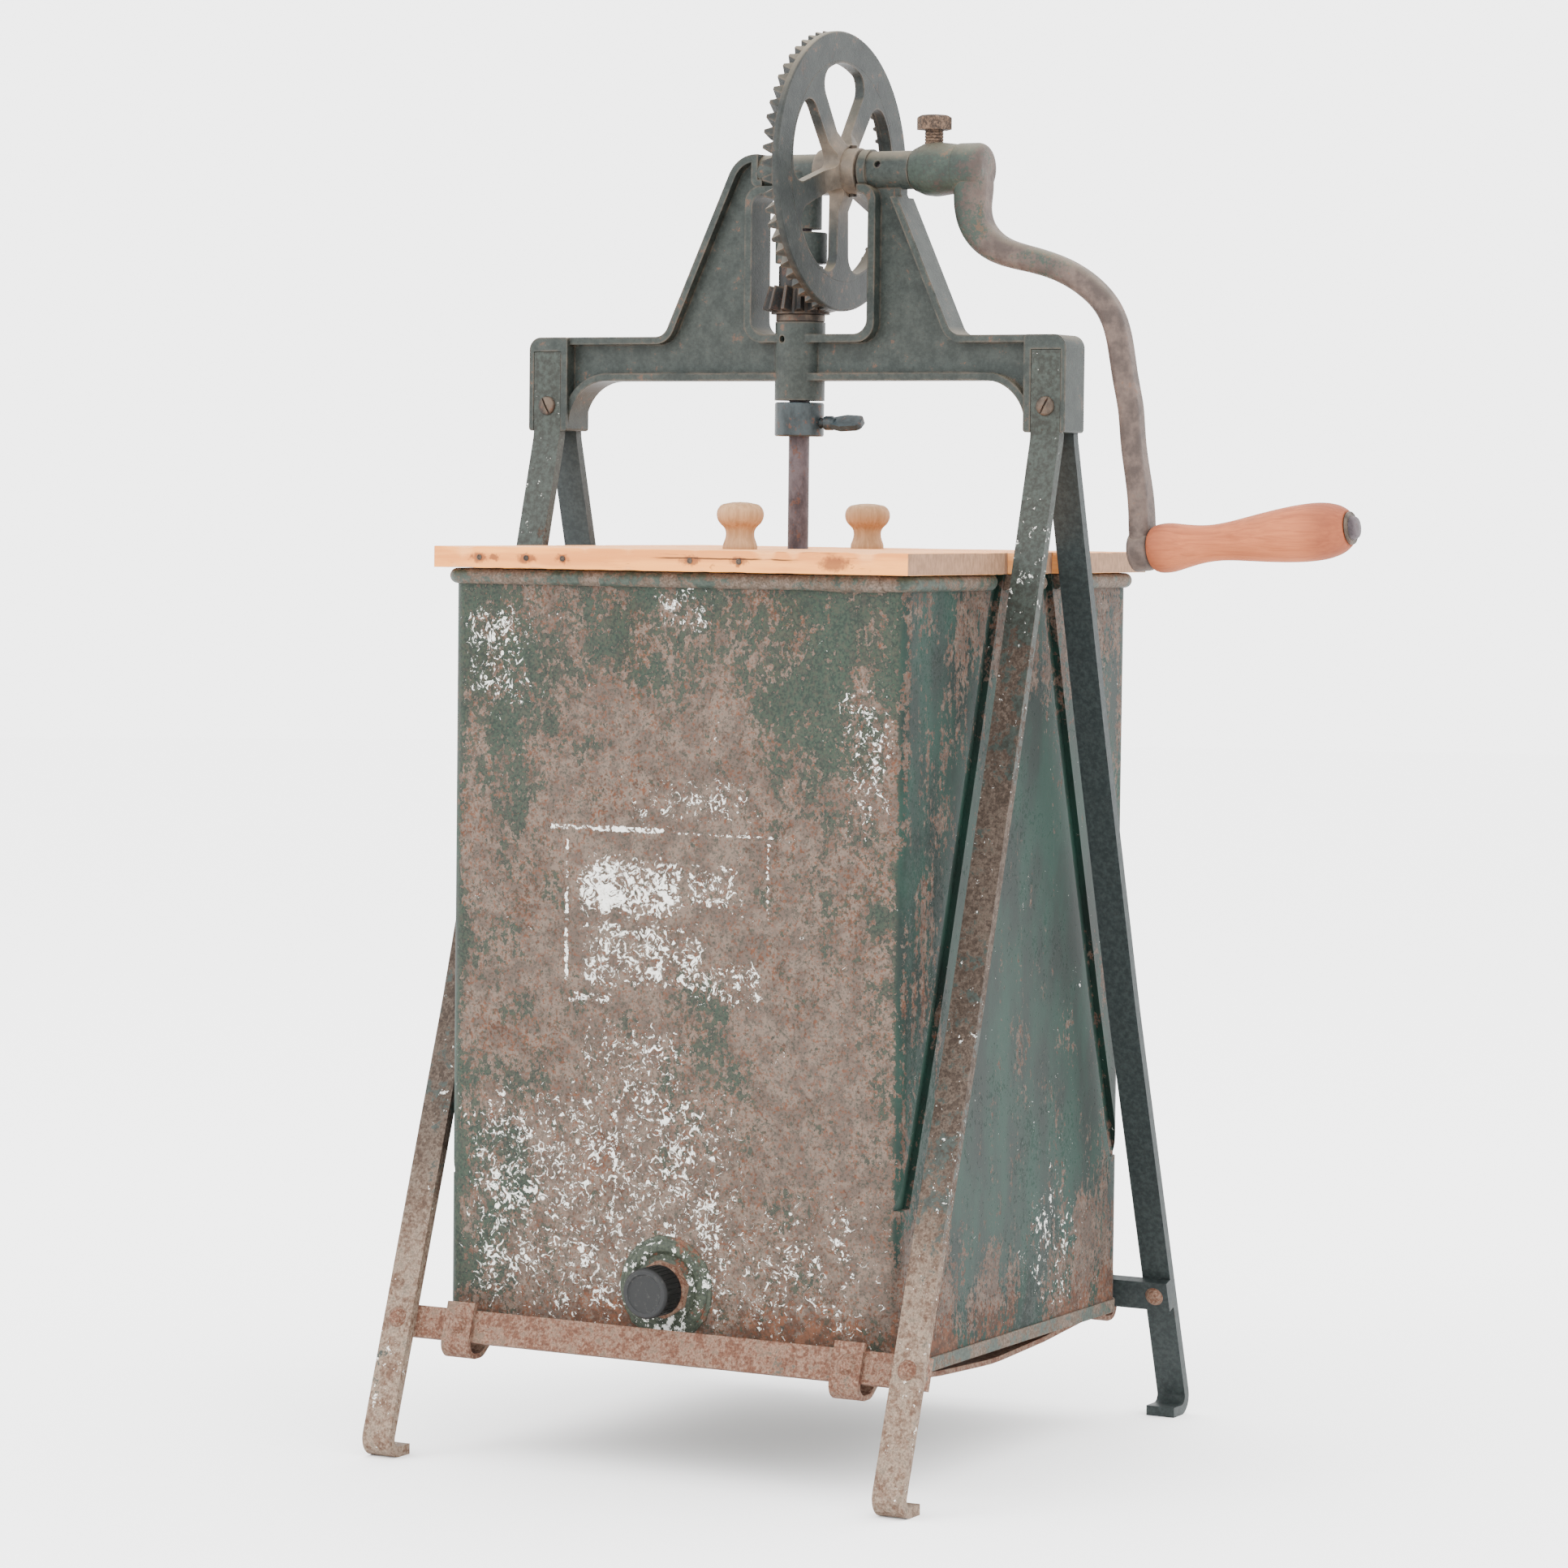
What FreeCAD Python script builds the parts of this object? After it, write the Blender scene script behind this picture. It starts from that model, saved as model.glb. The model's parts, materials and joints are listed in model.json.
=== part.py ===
"""Hand-cranked can butter churn: sheet-metal can in a bar frame, cast bridge, bevel drive, dasher.

Millimetres, +Z up. X runs along the front face (the crank is on +X), the drain is on the -Y face.
Everything is drawn about the dasher axis (X = 0) and saved MID_X to the left of it, so that
the finished part stands with its origin on the floor under the middle of its overall size.
"""

import math
import os

import FreeCAD
import Part

V = FreeCAD.Vector
os.makedirs("parts", exist_ok=True)

# ---------------------------------------------------------------- driving dimensions

MID_X = 91.06             # middle of the overall width: left lug face to the grip end

CAN_HALF = 152.4          # 12 in square can
CAN_CORNER = 9.0          # bend radius of the vertical corners
SHEET = 1.0               # sheet thickness
CAN_BOTTOM = 69.5         # underside of the hem
CAN_TOP = 532.6           # top of the rolled rim
BEAD_R = 4.6              # rolled rim radius
HEM_H = 8.0               # bottom hem band height
HEM_T = 1.2
CHANNEL_W = 13.0          # pressed channel beside each leg
CHANNEL_D = 4.0
CHANNEL_END = 168.0       # height where a channel runs out

BAR_W = 19.05             # 3/4 x 1/4 in flat bar
BAR_T = 6.35
LEG_X = 172.0
LEG_TOP = 665.9
LEG_Y_TOP = 9.8
LEG_PATH = [(614.0, LEG_Y_TOP), (440.0, 59.0), (265.0, 112.0)]
HEEL_Y = 200.0
TOE_Y = 177.0

LUG_IN = 157.5
LUG_OUT = 185.0
LUG_BOTTOM = 617.0
LUG_HALF_Y = 13.2
BEAM_TOP = 675.0
BEAM_BOTTOM = 648.0
WEB_T = 9.0
FLANGE = 4.5
FLANGE_HALF_Y = 11.0
RIM_HALF_Y = 12.0
SLOPE_L = -89.8           # foot of the left slope on the beam
SLOPE_R = 108.3
SHOULDER = (78.0, 742.0)  # on the right slope, level with the bottom of the set screw sweep
CREST = (-39.5, 785.5)    # crown of the left slope, beside the inner bearing
BOSS_END = 77.3           # outer end of the crank bearing
WINDOW = (-28.0, 51.5, 676.0, 761.0)
WHEEL_GAP = (12.9, 43.5)

AXIS_Z = 774.4            # drive shaft height
SHAFT_R = 7.9375          # 5/8 in drive shaft
ROD_R = 6.35              # 1/2 in spindle and dasher shaft
RUN = 0.05                # radial running clearance

MODULE = 3.0
N_WHEEL = 56
N_PINION = 14
FACE_W = 15.0
PITCH_WHEEL = MODULE * N_WHEEL / 2.0
PITCH_PINION = MODULE * N_PINION / 2.0
ADDENDUM = 2.6
DEDENDUM = 3.3
TOOTH_SHARE = 0.205       # half tooth thickness over circular pitch

CRANK_THROW = 226.4
GRIP_TILT = 6.5
GRIP_X = 231.0

LID_HALF_X = 159.3
LID_HALF_Y = 163.5
LID_BOTTOM = 533.0
LID_T = 12.7
KNOB_X = 5.0
KNOB_Y = 82.0

DRAIN_Z = 111.0
STRAP_X = 131.3
STRAP_T = 3.2

# ---------------------------------------------------------------- helpers


def save(name, shape):
    """Write one node in the saved frame; compounds keep identical pieces as separate solids."""
    moved = shape.copy()
    moved.translate(V(-MID_X, 0, 0))
    moved.exportStep("parts/" + name + ".step")


def fuse(shapes):
    """Union of a list of shapes with merged faces."""
    return shapes[0].multiFuse(shapes[1:]).removeSplitter()


def cyl(r, length, base, axis):
    return Part.makeCylinder(r, length, base, axis)


def box(x0, x1, y0, y1, z0, z1):
    return Part.makeBox(x1 - x0, y1 - y0, z1 - z0, V(x0, y0, z0))


def mirror_x(shape):
    return shape.mirror(V(0, 0, 0), V(1, 0, 0))


def mirror_y(shape):
    return shape.mirror(V(0, 0, 0), V(0, 1, 0))


def rounded_wire(points, close=True):
    """Wire through (u, v, radius) corners, each corner filleted; lies in the XY plane."""
    n = len(points)
    edges = []
    ends = []
    for i in range(n):
        u, v, r = points[i]
        p = V(u, v, 0)
        if not close and i in (0, n - 1):
            ends.append((p, p, None))
            continue
        a = V(points[i - 1][0], points[i - 1][1], 0) - p
        b = V(points[(i + 1) % n][0], points[(i + 1) % n][1], 0) - p
        a.normalize()
        b.normalize()
        half = a.getAngle(b) / 2.0
        if r <= 0 or abs(half - math.pi / 2) < 1e-6:
            ends.append((p, p, None))
            continue
        t = r / math.tan(half)
        bis = a + b
        bis.normalize()
        mid = p + bis * (r / math.sin(half) - r)
        ends.append((p + a * t, p + b * t, mid))
    for i in range(n):
        start, stop, mid = ends[i]
        if mid is not None:
            edges.append(Part.Arc(start, mid, stop).toShape())
        if i == n - 1 and not close:
            break
        nxt = ends[(i + 1) % n][0]
        if stop.distanceToPoint(nxt) > 1e-5:
            edges.append(Part.makeLine(stop, nxt))
    return Part.Wire(edges)


def strip_points(path, thickness):
    """Closed outline of a bar bent along (u, v, radius) points, thickness across the path."""
    left = []
    right = []
    n = len(path)
    for i in range(n):
        u, v, r = path[i]
        p = V(u, v, 0)
        dirs = []
        if i > 0:
            dirs.append(p - V(path[i - 1][0], path[i - 1][1], 0))
        if i < n - 1:
            dirs.append(V(path[i + 1][0], path[i + 1][1], 0) - p)
        for d in dirs:
            d.normalize()
        normals = [V(-d.y, d.x, 0) for d in dirs]
        if len(normals) == 1:
            off = normals[0] * (thickness / 2)
            turn = 0.0
        else:
            m = normals[0] + normals[1]
            m.normalize()
            off = m * (thickness / 2 / m.dot(normals[0]))
            turn = dirs[0].cross(dirs[1]).z
        h = thickness / 2
        inner = max(r - h, 0.3) if r > 0 else 0
        outer = r + h if r > 0 else 0
        left.append((u + off.x, v + off.y, inner if turn > 0 else outer))
        right.append((u - off.x, v - off.y, outer if turn > 0 else inner))
    return left + right[::-1]


def prism_x(points, x0, x1):
    """Extrude (y, z, radius) corners along X."""
    face = Part.Face(rounded_wire(points))
    solid = face.extrude(V(0, 0, x1 - x0))
    solid.rotate(V(0, 0, 0), V(1, 0, 0), 90)
    solid.rotate(V(0, 0, 0), V(0, 0, 1), 90)
    solid.translate(V(x0, 0, 0))
    return solid


def prism_y(points, y0, y1):
    """Extrude (x, z, radius) corners along Y."""
    face = Part.Face(rounded_wire(points))
    solid = face.extrude(V(0, 0, y1 - y0))
    solid.rotate(V(0, 0, 0), V(1, 0, 0), 90)
    solid.translate(V(0, y1, 0))
    return solid


def prism_z(points, z0, z1):
    """Extrude (x, y, radius) corners along Z."""
    face = Part.Face(rounded_wire(points))
    solid = face.extrude(V(0, 0, z1 - z0))
    solid.translate(V(0, 0, z0))
    return solid


def square(half, corner):
    return [(-half, -half, corner), (half, -half, corner), (half, half, corner), (-half, half, corner)]


def lathe(profile, axis="z"):
    """Revolve (radius, height, fillet) corners about Z, X or Y (height along the axis)."""
    face = Part.Face(rounded_wire(profile))
    face.rotate(V(0, 0, 0), V(1, 0, 0), 90)
    solid = face.revolve(V(0, 0, 0), V(0, 0, 1), 360)
    if axis == "x":
        solid.rotate(V(0, 0, 0), V(0, 1, 0), 90)
    if axis == "y":
        solid.rotate(V(0, 0, 0), V(1, 0, 0), -90)
    return solid


def rivet(center, axis, grip, r, head_r, head_h):
    """Round-head rivet through a stack of thickness grip centred on center."""
    axis = V(axis)
    axis.normalize()
    g = grip / 2
    prof = [
        (0, -g - head_h, 0),
        (head_r * 0.62, -g - head_h, head_h * 0.7),
        (head_r, -g, 0),
        (r, -g, 0),
        (r, g, 0),
        (head_r, g, 0),
        (head_r * 0.62, g + head_h, head_h * 0.7),
        (0, g + head_h, 0),
    ]
    solid = lathe(prof)
    rot = FreeCAD.Rotation(V(0, 0, 1), axis)
    solid.Placement = FreeCAD.Placement(center, rot)
    return solid


def polygon_solid(rings):
    """Closed solid between two matching quads (flat sides)."""
    a, b = rings
    n = len(a)
    faces = [Part.Face(Part.makePolygon(a + [a[0]])), Part.Face(Part.makePolygon(b + [b[0]]))]
    for i in range(n):
        j = (i + 1) % n
        faces.append(Part.Face(Part.makePolygon([a[i], a[j], b[j], b[i], a[i]])))
    solid = Part.Solid(Part.makeShell(faces))
    if solid.Volume < 0:
        solid.reverse()
    return solid


# ---------------------------------------------------------------- legs, crossbars, straps


def leg_line(z):
    """Half-spread of the leg centre line at height z."""
    pts = LEG_PATH + [(BAR_T / 2, HEEL_Y)]
    for (za, ya), (zb, yb) in zip(pts, pts[1:]):
        if za >= z >= zb:
            return ya + (yb - ya) * (za - z) / (za - zb)
    return LEG_Y_TOP


def build_leg():
    """Front-right leg: flat bar, straight in the lug pocket, splayed, toe turned inward."""
    path = [(LEG_Y_TOP, LEG_TOP, 0), (LEG_Y_TOP, LEG_PATH[0][0], 30)]
    path += [(y, z, 600) for z, y in LEG_PATH[1:]]
    path += [(HEEL_Y, BAR_T / 2, 8), (TOE_Y, BAR_T / 2, 0)]
    leg = prism_x(strip_points(path, BAR_T), LEG_X - BAR_W / 2, LEG_X + BAR_W / 2)
    return mirror_y(leg)


slope = math.atan2(leg_line(90) - leg_line(110), 20.0)
out_n = V(0, -math.cos(slope), math.sin(slope))      # outward normal of the front leg
bar_down = V(0, -math.sin(slope), -math.cos(slope))
bar_mid = V(0, -leg_line(81.0), 81.0) - out_n * BAR_T

leg_fr = build_leg()

bar = box(-LEG_X - BAR_W / 2, LEG_X + BAR_W / 2, -BAR_T / 2, BAR_T / 2, -BAR_W / 2, BAR_W / 2)
bar.rotate(V(0, 0, 0), V(1, 0, 0), -math.degrees(slope))
bar.translate(bar_mid)


def strap_path():
    """Half of the strap centre line from the front hook to the middle, as (y, z, radius)."""
    face = bar_mid + out_n * (BAR_T / 2 + STRAP_T / 2)
    top = face - bar_down * 13.5
    hook_z = 60.0 + STRAP_T / 2
    drop = (face.z - hook_z) / -bar_down.z
    knee = face + bar_down * drop
    seat = CAN_BOTTOM - STRAP_T / 2
    return [
        (top.y, top.z, 0),
        (knee.y, knee.z, 7.5),
        (-161.0, hook_z, 9),
        (-152.5, seat, 6),
        (-145.0, seat, 30),
        (-70.0, 61.6, 160),
    ]


half_path = strap_path()
full_path = half_path + [(0.0, 58.4, 300)] + [(-y, z, r) for y, z, r in half_path[::-1]]
strap = prism_x(strip_points(full_path, STRAP_T), STRAP_X - BAR_W / 2, STRAP_X + BAR_W / 2)

leg_rivet = rivet(bar_mid + out_n * BAR_T / 2 + V(LEG_X, 0, 0), out_n, 2 * BAR_T, 3.2, 6.0, 3.2)
hook_mid = bar_mid + out_n * (STRAP_T / 2)
hook_rivet = rivet(hook_mid + V(STRAP_X, 0, 0), out_n, BAR_T + STRAP_T, 3.2, 6.0, 3.0)

leg_hole = cyl(3.2, 40, bar_mid + V(LEG_X, 0, 0) - out_n * 20, out_n)
hook_hole = cyl(3.2, 40, bar_mid + V(STRAP_X, 0, 0) - out_n * 20, out_n)
screw_hole = cyl(3.0, 40, V(LEG_X, -20 - 6.6, 632.6), V(0, 1, 0))

leg_fr = leg_fr.cut(leg_hole).cut(screw_hole)
bar = bar.cut(leg_hole).cut(mirror_x(leg_hole)).cut(hook_hole).cut(mirror_x(hook_hole))
strap = strap.cut(hook_hole).cut(mirror_y(hook_hole))

save("leg_front_right", leg_fr)
save("leg_front_left", mirror_x(leg_fr))
save("leg_back_right", mirror_y(leg_fr))
save("leg_back_left", mirror_x(mirror_y(leg_fr)))
save("crossbar_front", bar)
save("crossbar_back", mirror_y(bar))
save("strap_right", strap)
save("strap_left", mirror_x(strap))


def four(shape):
    """The piece and its three mirror images, as separate solids."""
    return Part.makeCompound([shape, mirror_x(shape), mirror_y(shape), mirror_x(mirror_y(shape))])


save("leg_rivets", four(leg_rivet))
save("strap_rivets", four(hook_rivet))

# slotted round-head screws holding the leg tops in the lugs
pocket_floor = LEG_Y_TOP - BAR_T / 2
screw_seat = LEG_Y_TOP + BAR_T / 2
screw = lathe(
    [(0, 0, 0), (3.0, 0, 0), (3.0, screw_seat - 2.0, 0), (6.2, screw_seat - 2.0, 0),
     (5.6, screw_seat + 1.8, 1.6), (0, screw_seat + 2.6, 0)],
    "y",
)
screw = screw.cut(box(-0.6, 0.6, screw_seat + 0.9, screw_seat + 5, -8, 8))
screw = screw.cut(box(-10, 10, screw_seat - 3, screw_seat, -10, 10))
shank = cyl(3.0, screw_seat - 2.0, V(0, 2.0, 0), V(0, 1, 0))
screw = fuse([screw, shank]).cut(box(-10, 10, -1, 2.0, -10, 10))
screw.rotate(V(0, 0, 0), V(0, 1, 0), 28)
screw.translate(V(LEG_X, 0, 632.6))
save("lug_screws", four(screw))

# ---------------------------------------------------------------- cast bridge


def build_bridge():
    outline = [
        (-LUG_OUT, LUG_BOTTOM, 2),
        (-LUG_IN, LUG_BOTTOM, 2),
        (-LUG_IN, BEAM_BOTTOM, 27),
        (LUG_IN, BEAM_BOTTOM, 27),
        (LUG_IN, LUG_BOTTOM, 2),
        (LUG_OUT, LUG_BOTTOM, 2),
        (LUG_OUT, BEAM_TOP, 9),
        (SLOPE_R, BEAM_TOP, 9),
        (SHOULDER[0], SHOULDER[1], 0),
        (69.8, 760.0, 0),
        (69.8, 770.0, 0),
        (-25.0, 770.0, 0),
        (-25.0, CREST[1], 0),
        (CREST[0], CREST[1], 20),
        (SLOPE_L, BEAM_TOP, 9),
        (-LUG_OUT, BEAM_TOP, 9),
    ]
    x0, x1, z0, z1 = WINDOW
    hole = [(x0, z0, 9), (x1, z0, 9), (x1, z1, 7), (x0, z1, 7)]
    rim = [(x0 - 5, z0 - 5, 12), (x1 + 5, z0 - 5, 12), (x1 + 5, z1 + 5, 10), (x0 - 5, z1 + 5, 10)]
    face = Part.Face(rounded_wire(outline))
    inner = face.makeOffset2D(-FLANGE)
    web = prism_y(outline, -WEB_T / 2, WEB_T / 2)
    full = prism_y(outline, -LUG_HALF_Y, LUG_HALF_Y)
    core = inner.extrude(V(0, 0, 2 * LUG_HALF_Y + 2))
    core.rotate(V(0, 0, 0), V(1, 0, 0), 90)
    core.translate(V(0, LUG_HALF_Y + 1, 0))
    flange = prism_y(outline, -FLANGE_HALF_Y, FLANGE_HALF_Y).cut(core)
    # along the two bearings only the round bosses stand out from the web
    flange = flange.cut(box(-22.0, 100.0, -30, 30, 758.0, 800.0))
    window_rim = prism_y(rim, -RIM_HALF_Y, RIM_HALF_Y).common(full)
    lugs = []
    for s in (-1, 1):
        a, b = sorted((s * LUG_IN, s * LUG_OUT))
        lug = prism_y(
            [(a, LUG_BOTTOM, 2), (b, LUG_BOTTOM, 2), (b, BEAM_TOP, 8 if s > 0 else 2),
             (a, BEAM_TOP, 8 if s < 0 else 2)],
            -LUG_HALF_Y, LUG_HALF_Y,
        )
        lugs.append(lug)
    bosses = [
        cyl(11.0, 12.9 + 27.0, V(-27.0, 0, AXIS_Z), V(1, 0, 0)),
        cyl(11.6, BOSS_END - 43.5, V(43.5, 0, AXIS_Z), V(1, 0, 0)),
        cyl(13.0, 5.5, V(43.5, 0, AXIS_Z), V(1, 0, 0)),
        cyl(15.3, 683.6 - 636.0, V(0, 0, 636.0), V(0, 0, 1)),
    ]
    neck = cyl(12.4, AXIS_Z - 740.0, V(0, 0, 740.0), V(0, 0, 1))
    body = fuse([web, flange, window_rim] + lugs)
    body = body.cut(prism_y(hole, -30, 30))
    body = body.cut(box(WHEEL_GAP[0], WHEEL_GAP[1], -30, 30, 750, 800))
    body = fuse([body, neck] + bosses)
    # bores and oil holes
    body = body.cut(cyl(SHAFT_R + RUN, 120, V(-26.0 + 3.0, 0, AXIS_Z), V(1, 0, 0)))
    body = body.cut(cyl(ROD_R + RUN, 60, V(0, 0, 630.0), V(0, 0, 1)))
    body = body.cut(cyl(ROD_R + RUN, 756.0 - 735.0, V(0, 0, 735.0), V(0, 0, 1)))
    body = body.cut(cyl(2.0, 20, V(-8.0, -18.0, AXIS_Z + 4.0), V(0, 1, -0.22)))
    body = body.cut(cyl(2.0, 20, V(57.0, -19.0, AXIS_Z + 5.5), V(0, 1, -0.28)))
    body = body.cut(cyl(2.2, 16, V(-6.0, -18.0, 673.0), V(0.3, 1, 0)))
    # leg pockets, front and back
    for sx in (-1, 1):
        for sy in (-1, 1):
            xa, xb = sorted((sx * (LEG_X - 9.8), sx * (LEG_X + 9.8)))
            ya, yb = sorted((sy * pocket_floor, sy * 20.0))
            body = body.cut(box(xa, xb, ya, yb, LUG_BOTTOM - 5, LEG_TOP + 0.3))
            hole_y = sorted((sy * 2.0, sy * 10.0))
            body = body.cut(cyl(3.0, 8.0, V(sx * LEG_X, hole_y[0], 632.6), V(0, 1, 0)))
    return body


bridge = build_bridge()
save("bridge_casting", bridge)

# ---------------------------------------------------------------- bevel drive

apex = V(0, 0, AXIS_Z)
CONE = math.hypot(PITCH_WHEEL, PITCH_PINION)
pitch_angle_w = math.atan2(PITCH_WHEEL, PITCH_PINION)
pitch_angle_p = math.atan2(PITCH_PINION, PITCH_WHEEL)


def bevel_teeth(count, cone_angle, phase):
    """Straight bevel teeth about local +Z, apex at the origin, opening towards +Z."""
    pitch = math.pi * MODULE
    half = TOOTH_SHARE * pitch
    root_d = DEDENDUM + 0.5
    flank = math.tan(math.radians(20))
    teeth = []
    scale = (CONE - FACE_W) / CONE
    along = V(math.sin(cone_angle), 0, math.cos(cone_angle))
    out = V(math.cos(cone_angle), 0, -math.sin(cone_angle))
    side = V(0, 1, 0)
    for k in range(count):
        quad = []
        for d, s in ((-root_d, 1), (ADDENDUM, 1), (ADDENDUM, -1), (-root_d, -1)):
            w = half - d * flank
            quad.append(along * CONE + out * d + side * (s * w))
        small = [p * scale for p in quad]
        tooth = polygon_solid([quad, small])
        tooth.rotate(V(0, 0, 0), V(0, 0, 1), phase + 360.0 * k / count)
        teeth.append(tooth)
    return teeth


def cone_point(cone_angle, dist, depth):
    """(radius, height) at distance dist along the pitch cone; the depth shrinks towards the apex."""
    depth = depth * dist / CONE
    r = dist * math.sin(cone_angle) + depth * -math.cos(cone_angle)
    h = dist * math.cos(cone_angle) + depth * math.sin(cone_angle)
    return r, h


def build_wheel():
    face_x = 28.5
    r0, h0 = cone_point(pitch_angle_w, CONE, DEDENDUM)
    r1, h1 = cone_point(pitch_angle_w, CONE - FACE_W - 3.0, DEDENDUM)
    rim = lathe([(r1, face_x, 1.0), (r0 + 1.2, face_x, 1.5), (r0 + 1.2, h0 + 0.6, 0), (r0, h0, 0), (r1, h1, 0)])
    disc = lathe([
        (10.0, 22.2, 0), (r1 + 0.5, 22.2, 0), (r1 + 0.5, face_x, 0), (25.0, face_x, 0),
        (14.5, face_x + 4.5, 0), (10.0, face_x + 4.5, 0),
    ])
    wedge_cut = []
    for k in range(5):
        mid = math.radians(-90 + 36 + 72 * k)
        reach = r1 - 1.0
        spread = math.radians(36) - math.asin(7.6 / reach)
        tip = 6.2 / math.sin(math.radians(36))
        pts = [
            (reach * math.cos(mid - spread), reach * math.sin(mid - spread), 11.0),
            (reach * 1.05 * math.cos(mid), reach * 1.05 * math.sin(mid), 45.0),
            (reach * math.cos(mid + spread), reach * math.sin(mid + spread), 11.0),
            (tip * math.cos(mid), tip * math.sin(mid), 5.5),
        ]
        wedge_cut.append(prism_z(pts, 15, 38))
    disc = disc.cut(Part.makeCompound(wedge_cut))
    disc = disc.common(cyl(r1 + 0.5, 40, V(0, 0, 0), V(0, 0, 1)))
    hub = lathe([(SHAFT_R, 13.7, 0), (13.6, 13.7, 0.8), (13.9, 28.0, 0), (13.9, 41.5, 1.0), (SHAFT_R, 41.5, 0)])
    body = fuse([rim, disc, hub])
    body = body.cut(cyl(SHAFT_R, 60, V(0, 0, 0), V(0, 0, 1)))
    # a tooth centred straight down once the local +X axis points to -Z
    teeth = bevel_teeth(N_WHEEL, pitch_angle_w, -90.0)
    body = body.multiFuse(teeth)
    # local Z becomes world X, local -Y becomes world -Z
    turn = FreeCAD.Matrix(0, 0, 1, 0, 1, 0, 0, 0, 0, 1, 0, AXIS_Z, 0, 0, 0, 1)
    body.Placement = FreeCAD.Placement(turn)
    return body


def build_pinion():
    r1, h1 = cone_point(pitch_angle_p, CONE - FACE_W, DEDENDUM)
    r2, h2 = cone_point(pitch_angle_p, CONE + 1.2, DEDENDUM)
    body = lathe([
        (ROD_R, h1 - 13.5, 0),
        (13.6, h1 - 13.5, 0.8),
        (13.6, h1, 0),
        (r1 + 0.01, h1 + 0.01, 0),
        (r2, h2, 0),
        (r2 - 0.2, 86.1, 0),
        (ROD_R, 86.1, 0),
    ])
    teeth = bevel_teeth(N_PINION, pitch_angle_p, 180.0 / N_PINION)
    body = body.multiFuse(teeth)
    body.rotate(V(0, 0, 0), V(1, 0, 0), 180)
    body.translate(apex)
    return body


wheel_pin = cyl(2.4, 31.0, V(35.0, 0, AXIS_Z - 15.5), V(0, 0, 1))
wheel_pin_hole = cyl(2.4, 40.0, V(35.0, 0, AXIS_Z - 20.0), V(0, 0, 1))
wheel = build_wheel().cut(wheel_pin_hole)
save("bevel_wheel", wheel)

CRANK_IN = 78.0
CRANK_OUT = 106.0
shaft = cyl(SHAFT_R, CRANK_OUT - 4.0 + 22.0, V(-22.0, 0, AXIS_Z), V(1, 0, 0))
shaft = shaft.cut(wheel_pin_hole)
save("drive_shaft", shaft)
save("wheel_pin", wheel_pin)

pinion_pin_z = AXIS_Z - 63.5
pinion_pin_hole = cyl(2.0, 40.0, V(0, -20.0, pinion_pin_z), V(0, 1, 0))
pinion = build_pinion().cut(pinion_pin_hole)
save("pinion", pinion)
save("pinion_pin", cyl(2.0, 28.4, V(0, -14.2, pinion_pin_z), V(0, 1, 0)))

COUPLING = (614.2, 634.8)
spindle = cyl(ROD_R, 755.6 - 624.6, V(0, 0, 624.6), V(0, 0, 1))
collar_z = (719.0, 738.0)
spindle = spindle.cut(pinion_pin_hole)
save("spindle", spindle)
upper_collar = lathe([(ROD_R, collar_z[0], 0), (15.8, collar_z[0], 1), (15.8, collar_z[1], 1), (ROD_R, collar_z[1], 0)])
upper_collar = upper_collar.cut(cyl(2.4, 20.0, V(0, -ROD_R, 728.5), V(0, -1, 0)))
save("upper_collar", upper_collar)
collar_screw = cyl(2.4, 8.6, V(0, -ROD_R, 728.5), V(0, -1, 0))
collar_screw = collar_screw.cut(box(-3, 3, -16, -14.0, 728.1, 728.9))
save("collar_screw", collar_screw)
washer = lathe([(ROD_R, 683.9, 0), (14.9, 683.9, 0.5), (14.9, 688.2, 0.5), (ROD_R, 688.2, 0)])
save("thrust_washer", washer)

# coupling collar with its thumb screw on the +X side
thumb_z = 624.0
coupling = lathe([(ROD_R, COUPLING[0], 0), (15.1, COUPLING[0], 1.2), (15.1, COUPLING[1], 1.2), (ROD_R, COUPLING[1], 0)])
coupling = coupling.cut(cyl(3.35, 30.0, V(0, 0, thumb_z - 1.6), V(1, 0, 0)))
save("coupling_collar", coupling)
wing = lathe([
    (0, 6.9, 0),
    (3.0, 6.9, 0),
    (3.0, 18.0, 0),
    (4.4, 18.0, 0.6),
    (4.4, 23.0, 1.0),
    (3.2, 25.0, 1.0),
    (0, 25.0, 0),
], "x")
blade_pts = [(22.0, -3.6, 1), (31.0, -6.4, 2), (43.5, -5.2, 4), (43.5, 5.2, 4), (31.0, 6.4, 2), (22.0, 3.6, 1)]
blade = prism_z(blade_pts, -1.9, 1.9)
wing = fuse([wing, blade])
wing.rotate(V(0, 0, 0), V(1, 0, 0), 35)
wing.translate(V(0, 0, thumb_z - 1.6))
save("thumb_screw", wing)

# ---------------------------------------------------------------- crank and grip


def crank_section(x, z, angle, t, w):
    """Rounded-rectangle section, t in the bend plane and w across it."""
    r = min(t, w) * 0.42
    wire = rounded_wire([(-t / 2, -w / 2, r), (t / 2, -w / 2, r), (t / 2, w / 2, r), (-t / 2, w / 2, r)])
    wire.rotate(V(0, 0, 0), V(0, 1, 0), angle)
    wire.translate(V(x, 0, z))
    return wire


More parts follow.
